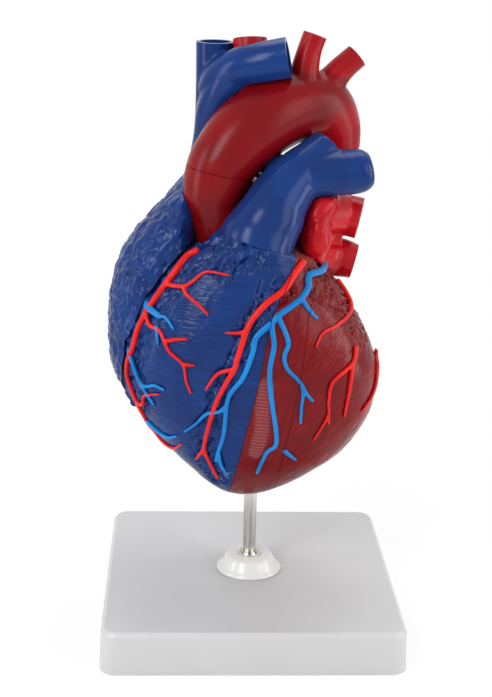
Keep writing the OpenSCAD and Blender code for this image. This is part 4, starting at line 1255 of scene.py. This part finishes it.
# %% The aorta
TRUNK_ARTERY = [(-4, 9, 318, 11), (-5, 15, 330, 10), (-6, 20, 353.5, 10)]
CAROTID = [(25, 12, 322, 11), (26, 13, 336, 8.5), (28.5, 14, 348, 7.2), (31.5, 14, 357, 7.1)]
SUBCLAVIAN = [(33, 20, 319, 12), (42, 22, 329, 9.2), (49, 23.5, 337, 7.8), (57.5, 25, 344.5, 7.4)]
NECK_ARTERIES = (TRUNK_ARTERY, CAROTID, SUBCLAVIAN)
aortic_root = cut(root_form, tube("root_bore", AORTIC_ROOT, VESSEL_WALL, spacing=1.2),
                  ventricle_form, aorta_half("above_aorta_seam", 1, 0), *aorta_pockets(-1))
arch_tubes = [tube("aorta_part", longer(ARCH, (0, 1)))]
arch_tubes += [tube("aorta_part", longer(route)) for route in NECK_ARTERIES]
aorta = melt(join(*arch_tubes), VESSEL_VOXEL, 10)
aorta = cut(aorta, *[beyond_end(route, 1.25) for route in (ARCH, *NECK_ARTERIES)],
            tube("arch_bore", ARCH, VESSEL_WALL, past=0.3),
            aorta_half("below_aorta_seam", -1, SEAM), *aorta_pockets(1),
            *[blind_end(route, BRANCH_WALL) for route in NECK_ARTERIES])
print("aorta:", len(aorta.data.polygons), "faces")

# %% [markdown]
# ## The upper vein
#
# A wide blue vein stands beside the aorta and takes a branch that crosses in front of the neck
# arteries. Where they meet, the real casting is broad and flat. Two tubes alone would leave a deep
# notch, so a few web tubes fill the corner before everything is melted.

# %% The upper vein with its branch
CAVA_SEAM = 280
CAVA = [(-28, 29.5, 275, 12.8), (-28, 29.5, 283, 12.2), (-26.5, 29, 300, 11.3), (-26, 28, 325, 11.2),
        (-26, 27, 351, 11.4)]
NECK_VEIN = [(-27, 25, 322, 9.5), (-22, 17, 331, 11), (-12, 8, 338, 11.5), (2, 2, 342, 11.6),
             (15.5, 0, 344.8, 11.8)]
NECK_VEIN_WEBS = [
    [(-12, 9, 336, 10.5), (-20, 15, 326, 11.3), (-25, 22, 313, 11.3), (-27, 28, 298, 11)],
    [(-22, 17, 334, 9), (-25, 23, 330, 9.5), (-26, 27, 320, 10)]]
cava_tubes = [tube("cava_part", longer(CAVA)),
              tube("cava_part", longer(NECK_VEIN), across=(0, 0, 1)),
              *[tube("cava_part", route) for route in NECK_VEIN_WEBS]]
cava = melt(join(*cava_tubes), VESSEL_VOXEL, 10)
cava = cut(cava, beyond_end(CAVA, 1.3), beyond_end(NECK_VEIN, 1.3),
           tube("cava_bore", CAVA, VEIN_WALL, past=0.3),
           block("below_cava_seam", (-100, -100, 180), (100, 100, CAVA_SEAM + SEAM)),
           arch_room, root_room, tube("trunk_artery_room", TRUNK_ARTERY, -SEAM),
           blind_end(NECK_VEIN, VEIN_WALL))
print("upper vein:", len(cava.data.polygons), "faces")

# %% [markdown]
# ## The pulmonary arteries
#
# The trunk rises from the right ventricle, widest at its foot, and forks under the arch. Its lower end
# is cut along the seam, which slopes down to the right in the photograph. The arch and the root are
# cut out of it with a little room, so that no two skins cross.

# %% The pulmonary arteries
RIGHT_BRANCH = [(12, -4, 280, 9.5), (8, 10, 280, 9.5), (0, 24, 281.5, 9), (-10, 38, 285, 8.5),
                (-22, 46.5, 288, 8.5), (-35, 48.5, 288, 8.5)]
SWELL, SWELL_FROM, SWELL_TO = 0.8, 255, 275
fuller = [(x, y, z, r + (SWELL if SWELL_FROM < z < SWELL_TO else 0)) for x, y, z, r in TRUNK]
trunk_tubes = [tube("trunk_part", fuller), tube("trunk_part", longer(LEFT_BRANCH, extra=0.5)),
               tube("trunk_part", longer(RIGHT_BRANCH), across=(0, 0, 1))]
pulmonary = melt(join(*trunk_tubes), VESSEL_VOXEL, 12)
above_seam = cut(block("above_seam", (-100, -100, 200), (100, 100, 400)),
                 through("below_trunk_seam_gap", BELOW_TRUNK_SEAM, grow=SEAM))
trunk_bore = within(tube("trunk_bore", TRUNK, VESSEL_WALL),
                    block("trunk_bore_room", (-60, -80, 100), (30, 40, 286)))
pulmonary = cut(within(pulmonary, above_seam), trunk_bore, arch_room, root_room,
                beyond_end(RIGHT_BRANCH, 1.2), tube("cava_room", CAVA, -SEAM),
                blind_end(RIGHT_BRANCH, BRANCH_WALL))
print("pulmonary arteries:", len(pulmonary.data.polygons), "faces")

# %% [markdown]
# ## The coronary vessels
#
# The arteries and veins on the heart stand proud, as raised beads of paint-ready plastic. Each is a
# route drawn on the front of the ventricles. A curve object for each would need a taper of its own. A
# Geometry Nodes tree turns all routes of a piece into tubes at once, with a radius that follows the
# "radius" attribute, and melting gives them their soft forks.

# %% Paints for vessels and valves
artery_paint = glossy_paint("artery_red_paint", colour(216, 32, 28), colour(176, 16, 20), 0.16)
vein_paint = glossy_paint("vein_blue_paint", colour(14, 124, 196), colour(4, 88, 158), 0.16)
valve_paint = glossy_paint("cream_plastic", colour(238, 214, 186), colour(222, 182, 150), 0.3,
                           coat=0.15)
print("vessel paints:", artery_paint.name, "and", vein_paint.name)

# %% [markdown]
# ## Vessels that follow the skin
#
# The routes are drawn flat, as seen from the front. Shrinkwrap could lay them on the skin, but it
# would also follow every lump. The ventricles' rows give a smooth skin by a formula: its depth at a
# point, and from the slopes round it the way out, along which a vessel is lifted.

# %% Where the heart's skin lies
ROWS = smooth(VENTRICLES, 12)
NORMAL_STEP = 1.2


def skin_depth(x, z, back):
    """Where the ventricles' skin lies in front of, or behind, a point of x and z."""
    left, right, front, rear = (np.interp(z, ROWS[:, 0], ROWS[:, i]) for i in (1, 2, 3, 4))
    u = np.minimum(np.abs(2 * x - left - right) / (right - left), 0.9995)
    share = (1 - u ** (2 / SQUARENESS)) ** (SQUARENESS / 2)
    return (front + rear) / 2 + (1 if back else -1) * share * (rear - front) / 2


def skin_normal(x, z, back):
    """The way out of the skin at a point of x and z, from the slopes round it."""
    s, way = NORMAL_STEP, 1 if back else -1
    slope_x = (skin_depth(x + s, z, back) - skin_depth(x - s, z, back)) / (2 * s)
    slope_z = (skin_depth(x, z + s, back) - skin_depth(x, z - s, back)) / (2 * s)
    out = np.stack([-way * slope_x, np.full_like(x, way), -way * slope_z], 1)
    return out / np.linalg.norm(out, axis=1, keepdims=True)


print("the skin's front at x 0, z 150 lies at y", round(float(skin_depth(0.0, 150.0, False)), 1))

# %% The vessel tree
vessels = Form("coronary_vessels", Sides=14.0)
curve = vessels.node("GeometryNodeMeshToCurve", {}, {"Mesh": vessels.geometry})
ring = vessels.node("GeometryNodeCurvePrimitiveCircle", {}, {
    "Resolution": vessels.size("Sides"), "Radius": 1.0})
vessels.end(vessels.node("GeometryNodeCurveToMesh", {}, {
    "Curve": curve, "Profile Curve": ring, "Fill Caps": True,
    "Scale": vessels.attribute("radius")}))
print("vessel inputs:", ", ".join(vessels.sockets))

# %% Routes on the skin
VESSEL_LIFT = 0.75
BLUNT_TIP = 0.35
STEPS_BETWEEN = 8


def wandering(x, z):
    """A rear route with slight bends, as the photograph's vessels in front have."""
    free = np.sin(np.linspace(0, np.pi, len(x)))
    z = z + 0.8 * np.sin(x * 0.35 + z * 0.1) * free
    return x + 0.9 * np.sin(z * 0.28) * free, z


def vessel_routes(name, routes, radius, tip=0.5, back=False):
    """Fine polylines on the heart's skin, with a radius at each point, as one mesh of edges."""
    points, edges, radii = [], [], []
    for route in routes:
        last = len(route) - 1
        rows = [(x, z, radius * (1 - (1 - tip) * i / last)) for i, (x, z) in enumerate(route)]
        x, z, thick = smooth(rows, STEPS_BETWEEN).T
        if back:
            x, z = wandering(x, z)
        line = np.stack([x, skin_depth(x, z, back), z], 1) + skin_normal(x, z, back) * VESSEL_LIFT
        thick = thick.copy()
        thick[[0, -1]] *= BLUNT_TIP
        first = sum(map(len, points))
        points.append(line)
        radii.append(thick)
        edges += [(first + i, first + i + 1) for i in range(len(line) - 1)]
    mesh = bpy.data.meshes.new(name)
    mesh.from_pydata((np.vstack(points) * MM).tolist(), edges, [])
    made = bpy.data.objects.new(name, mesh)
    workshop.objects.link(made)
    write(made, "radius", np.concatenate(radii) * MM)
    return made


print("a vessel stands", VESSEL_LIFT, "mm above the skin at its middle")

# %% Vessels of one piece
THIN_VOXEL = 0.42


def gather(first, second):
    """Puts two meshes side by side in one."""
    work = bmesh.new()
    work.from_mesh(first.data)
    work.from_mesh(second.data)
    work.to_mesh(first.data)
    work.free()
    return first


def vessel_piece(name, paint, groups, region=None, outside=(), back=False):
    """Melted vessels, kept within one region of the heart or outside others."""
    parts = [vessels.apply(vessel_routes(name, routes, radius, tip, back), paint)
             for routes, radius, tip in groups]
    made = parts[0]
    for part in parts[1:]:
        gather(made, part)
    melt(made, THIN_VOXEL, 5)
    made.name = name
    if region:
        made = within(made, region)
    return cut(made, *outside) if outside else made


right_away = through("right_away", right_region, back=RIGHT_SPLIT, grow=0.02)
left_away = through("left_away", left_region, back=LEFT_SPLIT, grow=0.02)
away = (right_away, left_away)
left_main = ([LEFT_ARTERY], ARTERY_RADIUS * 1.3, 0.48)
right_coronary = vessel_piece("right_coronary", artery_paint, [
    ([RIGHT_ARTERY], ARTERY_RADIUS * 1.35, 0.6),
    (RIGHT_ARTERY_BRANCHES, ARTERY_RADIUS * 0.85, 0.5), left_main,
    (LEFT_ARTERY_BRANCHES, ARTERY_RADIUS * 0.8, 0.5)], right_keep)
left_coronary = vessel_piece("left_coronary", artery_paint, [left_main], outside=away)
side_arteries = vessel_piece("side_arteries", artery_paint, [
    (SIDE_ARTERIES, ARTERY_RADIUS * 0.85, 0.5)], left_keep)
print("arteries:", len(right_coronary.data.polygons), "faces on the right ventricle")

# %% The veins of each piece
strip_veins = [(STRIP_VEINS[:1], VEIN_RADIUS * 1.4, 0.5), (STRIP_VEINS[1:], VEIN_RADIUS, 0.55)]
cardiac_vein = vessel_piece("cardiac_vein", vein_paint, strip_veins, outside=away)
side_veins = vessel_piece("side_veins", vein_paint, strip_veins, left_keep)
front_veins = vessel_piece("front_veins", vein_paint, [
    (RIGHT_WALL_VEINS[:1], VEIN_RADIUS * 1.25, 0.5),
    (RIGHT_WALL_VEINS[1:], VEIN_RADIUS * 0.9, 0.55),
    ([CROSSING_VEIN], VEIN_RADIUS * 1.7, 0.6)], right_keep)
rear_vessels = vessel_piece("rear_vessels", vein_paint, [
    (REAR_VESSELS, VEIN_RADIUS * 1.2, 0.5), (REAR_BRANCHES, VEIN_RADIUS * 0.8, 0.5)], back=True)
print("veins:", len(cardiac_vein.data.polygons), "faces on the strip")

# %% [markdown]
# ## Pieces from the CAD model
#
# The stand, the rod, the valves and the magnets have their right shape in the CAD model, so making
# them again would only risk a difference. A merged copy of each gets soft edges, or is melted into an
# organic skin, and stands for its node.

# %% Soft edges and soft skins


def merged(node):
    """A copy of a CAD node whose loose triangles are joined, with its flat faces whole."""
    source = frame["nodes"][node]
    made = bpy.data.objects.new(node + "_piece", source.data.copy())
    made.data.materials.clear()
    workshop.objects.link(made)
    work = bmesh.new()
    work.from_mesh(made.data)
    bmesh.ops.remove_doubles(work, verts=work.verts, dist=1e-6)
    bmesh.ops.dissolve_limit(work, angle_limit=math.radians(0.5), verts=work.verts,
                             edges=work.edges)
    work.to_mesh(made.data)
    work.free()
    return made


def soft_edges(node, width, segments=3, angle=32):
    """A merged copy with each sharp edge rounded."""
    made = merged(node)
    bevel = made.modifiers.new("bevel", "BEVEL")
    bevel.width, bevel.segments, bevel.limit_method = width * MM, segments, "ANGLE"
    bevel.angle_limit, bevel.use_clamp_overlap = math.radians(angle), True
    return bake(made)


def soft_skin(node, voxel, rounds):
    """A merged copy melted into one soft skin."""
    return melt(merged(node), voxel, rounds)


print("a sharp edge is one that turns more than 32 degrees")

# %% The stand, the rod, the magnets and the valves
stand = soft_edges("stand_base", 0.9)
boss = soft_edges("rod_boss", 0.5, angle=50)
steel_rod = soft_edges("stand_rod", 0.25)
upper_washer = soft_edges("upper_lock_washer", 0.12, 2)
lower_washer = soft_edges("lower_lock_washer", 0.12, 2)
socket = soft_edges("rod_socket", 0.25)
MAGNET_NODES = ["heart_body_magnets", "great_vessel_magnets"]
MAGNET_NODES[1:1] = [wall + "_wall_magnets" for wall in (
    "right_ventricle", "left_ventricle", "right_atrium", "left_atrium")]
VALVE_NODES = [name + "_valve" for name in ("aortic", "pulmonary", "tricuspid", "mitral")]
MUSCLE_NODES = [side + "_papillary_muscles" for side in ("right", "left")]
magnets = {node: soft_edges(node, 0.2, 2) for node in MAGNET_NODES}
valves = {node: soft_skin(node, THIN_VOXEL, 6) for node in VALVE_NODES}
valves.update({node: soft_skin(node, 0.4, 4) for node in MUSCLE_NODES})
print("valves:", sum(len(o.data.polygons) for o in valves.values()), "faces")

# %% [markdown]
# ## The aorta's reds
#
# The aorta is dark red. It goes brighter towards the arch's end and up the neck arteries. No seam
# lies where it changes, so an attribute carries the share of bright paint from point to point.

# %% The aorta's two reds
aorta_paint = Paint("aorta_plastic")
bright = aorta_paint.attribute("bright")
worn = aorta_paint.noise(22, 3.0).ramp(0.35, 0.7) * 0.5
aorta_tint = aorta_paint.mix(bright, DARK_RED, BRIGHT_RED)
aorta_deep = aorta_paint.mix(bright, DEEP_RED, FULL_RED)
aorta_paint.set(Base_Color=aorta_paint.mix(worn, aorta_tint, aorta_deep),
                Specular_IOR_Level=0.15, Roughness=0.2 + aorta_paint.noise(9, 2.0) * 0.12)
aorta_paint.bump(aorta_paint.noise(1.5, 1.0) * 0.1 + aorta_paint.noise(13, 2.0) * 0.35, 0.5)
print("aorta paint:", aorta_paint.name)

# %% [markdown]
# ## Plastic and steel
#
# The stand has a satin skin with faint scuffs, and the boss is whiter and glossier. The rod is drawn
# steel: noise that is squeezed along its length gives fine rings. Both keep their pattern small and
# weak, because it should be felt in the reflections rather than seen.

# %% The stand's plastics and metals


def moulded_plastic(name, tint, deep, rough, coat):
    """Injection-moulded plastic, with a faint bloom and a finely textured skin."""
    paint = Paint(name)
    bloom = paint.noise(45, 2.0).ramp(0.3, 0.75)
    scuffs = paint.noise(3.2, 3.0, 0.4).ramp(0.58, 0.72)
    paint.set(Base_Color=paint.mix(bloom * 0.5, tint, deep), Coat_Weight=coat,
              Coat_Roughness=0.1, Roughness=rough + scuffs * 0.08)
    paint.bump(paint.noise(0.7, 2.0) * 0.5, 0.06)
    return paint


def brushed_metal(name, tint, rough, scratch=0.12):
    """Plated or drawn metal, with fine lines round it and slight tarnish."""
    paint = Paint(name)
    tarnish = paint.noise(12, 3.0).ramp(0.4, 0.75)
    place = paint.vector("MULTIPLY", paint.place, (0.35, 0.35, 9))
    lines = paint.noise(3.0, 2.0, place=place)
    darker = tuple(v * 0.72 for v in tint[:3]) + (1.0,)
    paint.set(Base_Color=paint.mix(tarnish * 0.5, tint, darker), Metallic=1.0,
              Roughness=rough + lines * scratch)
    paint.bump(lines, 0.02)
    return paint


grey_paint = moulded_plastic("grey_plastic", colour(192, 192, 193), colour(185, 185, 187),
                             0.34, 0.1)
white_paint = moulded_plastic("white_plastic", colour(216, 216, 214), colour(206, 206, 205),
                              0.24, 0.15)
rod_metal = brushed_metal("rod_steel", colour(206, 203, 198), 0.16)
socket_metal = brushed_metal("socket_metal", colour(190, 188, 186), 0.24)
magnet_metal = brushed_metal("magnet_plating", colour(214, 214, 216), 0.2, 0.06)
print("stand finishes:", grey_paint.name, "and", white_paint.name)

# %% [markdown]
# ## Linings, fibres and hatching
#
# Some paint changes over a piece: the chambers are lined in a paler tone, fibres are combed only
# between the fat, and the strip over the septum has wavering lines. A mask painted by hand wouldn't
# survive a change of shape, so each mask is worked out from where a point or a face lies.

# %% Masks for the paint
HATCHED_STRIP = [(4.5, 166), (3, 152), (3, 138), (0, 122)]
LINING_DEPTH = 3.0
ARCH_MIDDLE, ARCH_END = [row[:3] for row in ARCH], [(45, 32, 280), (40, 27, 306)]


def depth_in(points, rows):
    """How far points lie under the skin of a chamber's form, in millimetres."""
    left, right, front, back = (np.interp(points[:, 2], rows[:, 0], rows[:, i])
                                for i in (1, 2, 3, 4))
    u = np.abs(2 * points[:, 0] - left - right) / (right - left)
    v = np.abs(2 * points[:, 1] - front - back) / (back - front)
    level = (u ** (2 / SQUARENESS) + v ** (2 / SQUARENESS)) ** (SQUARENESS / 2)
    return (1 - level) * np.minimum(right - left, back - front) / 2


def line_inside(made, table, bare=None):
    """Marks the faces deeper than the skin of a chamber's form, for its lining."""
    rows, points = smooth(table, 12), points_of(made)
    z = points[:, 2]
    deep = depth_in(points, rows) > LINING_DEPTH
    deep &= (z >= rows[0, 0] - 0.5) & (z <= rows[-1, 0] + 0.5)
    if bare:
        deep &= ~bare(*points.T)
    corners = np.empty(len(made.data.loops), np.int32)
    made.data.loops.foreach_get("vertex_index", corners)
    starts = np.empty(len(made.data.polygons), np.int32)
    made.data.polygons.foreach_get("loop_start", starts)
    lined = np.maximum.reduceat(deep[corners].astype(np.float32), starts)
    layer = made.data.attributes.new("lined", "FLOAT", "FACE")
    layer.data.foreach_set("value", lined)


def comb(made):
    """Writes where the paint shows combed fibres, and where it is hatched."""
    points = points_of(made)
    flat, front = points[:, [0, 2]], fade(points[:, 1], -4, 6)
    band = np.minimum(distance(flat, LEFT_ARTERY[2:]), distance(flat, RIGHT_ARTERY) + 1.0)
    combed = fade(band, 6, 3) * fade(points[:, 2], 236, 244)
    write(made, "combed", combed * (0.35 + 0.65 * front))
    write(made, "hatched", fade(distance(flat, HATCHED_STRIP), 3.4, 5.2) * front)


for made in (right_wall, left_wall, septum, right_rear, left_rear):
    comb(made)
    line_inside(made, VENTRICLES)
for made in (right_atrium_outer, right_atrium_inner):
    line_inside(made, RIGHT_ATRIUM, lambda x, y, z: (x > -48) & (y < 12) & (z > 225))
for made in (left_atrium_front, left_atrium_rear):
    line_inside(made, LEFT_ATRIUM)
off_arch = fade(distance(points_of(aorta), ARCH_MIDDLE), 26.5, 23)
near_end = fade(distance(points_of(aorta), ARCH_END), 17, 24)
write(aorta, "bright", 0.5 * np.maximum(off_arch, near_end))
write(aortic_root, "bright", np.zeros(len(aortic_root.data.vertices)))
print("masks are written on nine walls and the aorta")

# %% [markdown]
# ## Finishing each piece
#
# Last, each piece is named, gets its paint, rides on its body and takes the place of its CAD nodes.
# Edges sharper than 42 degrees stay crisp, and everything else is shaded smooth. One function does it
# for every piece, so that none is forgotten.

# %% One finish for all
CRISP = math.radians(42)
SAME_POINT = 2e-6


def finish(made, name, paint, *nodes, slot=None):
    """Paints a piece, puts it on its body and lets it stand for its CAD nodes."""
    made.name = made.data.name = name
    workshop.objects.unlink(made)
    scene.collection.objects.link(made)
    made.data.materials.clear()
    made.data.materials.append(paint.material)
    work = bmesh.new()
    work.from_mesh(made.data)
    bmesh.ops.remove_doubles(work, verts=work.verts, dist=SAME_POINT)
    bmesh.ops.dissolve_degenerate(work, dist=SAME_POINT, edges=work.edges)
    work.to_mesh(made.data)
    work.free()
    made.data.shade_smooth()
    made.data.set_sharp_from_angle(angle=CRISP)
    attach(made, body_of(frame["nodes"][nodes[0]])[0])
    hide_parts(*nodes)
    made.data.calc_loop_triangles()
    print(f"{name}: {len(made.data.loop_triangles)} triangles")
    return len(made.data.loop_triangles)


total = 0
for row in (
        (right_wall, "right_ventricle_front", blue_paint, "right_ventricle_front_wall"),
        (left_wall, "left_ventricle_side", dark_red_paint, "left_ventricle_side_wall"),
        (septum, "septum_core", dark_red_paint, "septum"),
        (right_rear, "right_ventricle_rear", blue_paint, "right_ventricle_rear_wall"),
        (left_rear, "left_ventricle_rear", dark_red_paint, "left_ventricle_rear_wall")):
    total += finish(*row)

# %% Finish the atria
for row in (
        (right_atrium_outer, "right_atrium_outer", blue_paint, "right_atrium_outer_wall"),
        (right_atrium_inner, "right_atrium_inner", blue_paint, "right_atrium_inner_wall"),
        (lower_cava, "lower_vena_cava", blue_paint, "inferior_vena_cava"),
        (left_atrium_front, "left_atrium_front", red_paint, "left_atrium_front_wall"),
        (left_atrium_rear, "left_atrium_rear", red_paint, "left_atrium_rear_wall"),
        (auricle, "left_auricle_and_veins", red_paint, "left_auricle", "left_pulmonary_veins"),
        (right_veins, "right_lung_veins", red_paint, "right_pulmonary_veins")):
    total += finish(*row)
print("walls, atria and lower vein:", total, "triangles")

# %% Finish the great vessels
AORTA_NODES = ("aortic_arch", "brachiocephalic_trunk", "left_carotid_artery",
               "left_subclavian_artery")
PULMONARY_NODES = ("pulmonary_trunk", "left_pulmonary_artery", "right_pulmonary_artery")
total += finish(aorta, "aorta", aorta_paint, *AORTA_NODES, slot="dark_red_plastic")
total += finish(aortic_root, "aortic_root_piece", aorta_paint, "aortic_root",
                slot="dark_red_plastic")
total += finish(cava, "upper_vena_cava", blue_paint, "superior_vena_cava",
                "left_brachiocephalic_vein")
total += finish(pulmonary, "pulmonary_arteries", blue_paint, *PULMONARY_NODES)
print("with the great vessels:", total, "triangles")

# %% Finish the coronary vessels
for row in (
        (right_coronary, "right_coronary", artery_paint, "right_coronary_artery"),
        (left_coronary, "left_coronary", artery_paint, "left_coronary_artery"),
        (side_arteries, "side_arteries", artery_paint, "left_ventricle_arteries"),
        (cardiac_vein, "cardiac_vein", vein_paint, "great_cardiac_vein"),
        (side_veins, "side_veins", vein_paint, "left_ventricle_veins"),
        (front_veins, "front_veins", vein_paint, "anterior_cardiac_veins"),
        (rear_vessels, "rear_vessels", vein_paint, "rear_coronary_vessels")):
    total += finish(*row)
print("with the coronary vessels:", total, "triangles")

# %% Finish the valves, the metal and the stand
for node, made in valves.items():
    total += finish(made, node + "_piece", valve_paint, node)
for node, made in magnets.items():
    total += finish(made, node + "_piece", magnet_metal, node)
for row in (
        (stand, "stand", grey_paint, "stand_base"),
        (boss, "boss", white_paint, "rod_boss"),
        (steel_rod, "steel_rod", rod_metal, "stand_rod"),
        (upper_washer, "upper_washer", rod_metal, "upper_lock_washer"),
        (lower_washer, "lower_washer", rod_metal, "lower_lock_washer"),
        (socket, "socket", socket_metal, "rod_socket")):
    total += finish(*row)
for made in list(workshop.objects):
    bpy.data.objects.remove(made)
bpy.data.collections.remove(workshop)
print("triangles in all:", total)

# %% [markdown]
# ## The floor
#
# A white table that fades into the background. A lit floor alone would go grey at its edge, so the
# camera sees it glow: a little near the stand, where the shadow lies, and fully further away.

# %% Lay the floor
FLOOR_HALF, FLOOR_HEIGHT = 3000, -0.4
SHADOW_FROM, SHADOW_TO = 110, 330
NEAR_GLOW = 0.72
floor_mesh = bpy.data.meshes.new("floor")
corners = [(x * FLOOR_HALF, y * FLOOR_HALF, FLOOR_HEIGHT)
           for x, y in ((-1, -1), (1, -1), (1, 1), (-1, 1))]
floor_mesh.from_pydata((np.array(corners) * MM).tolist(), [], [(0, 1, 2, 3)])
floor = bpy.data.objects.new("floor", floor_mesh)
scene.collection.objects.link(floor)
floor_paint = Paint("floor")
floor_paint.set(Base_Color=(0.95, 0.95, 0.95, 1), Roughness=0.6, Specular_IOR_Level=0.1)
floor.data.materials.append(floor_paint.material)
print("floor:", 2 * FLOOR_HALF, "mm square")

# %% Let the floor glow
seen = floor_paint.node("ShaderNodeLightPath", {}, {}, "Is Camera Ray")
x, y = floor_paint.x, floor_paint.y
away = (x * x + y * y).power(0.5).ramp(SHADOW_FROM, SHADOW_TO)
glowing = floor_paint.node("ShaderNodeEmission", {}, {"Color": (1, 1, 1, 1), "Strength": 1.0})
surface = floor_paint.node("ShaderNodeMixShader", {}, {
    0: seen * (NEAR_GLOW + away * (1 - NEAR_GLOW)),
    1: Sum(floor_paint, floor_paint.shader.outputs[0]), 2: glowing})
surface_out = next(n for n in floor_paint.tree.nodes if n.type == "OUTPUT_MATERIAL")
floor_paint.fill(surface_out.inputs["Surface"], surface)
print("the floor glows fully from", SHADOW_TO, "mm on")

# %% [markdown]
# ## Sizes
#
# The relief rises less than half a millimetre above the drawn skin, and not where the box ends, so the
# box of what is seen lies within the box of the CAD model.
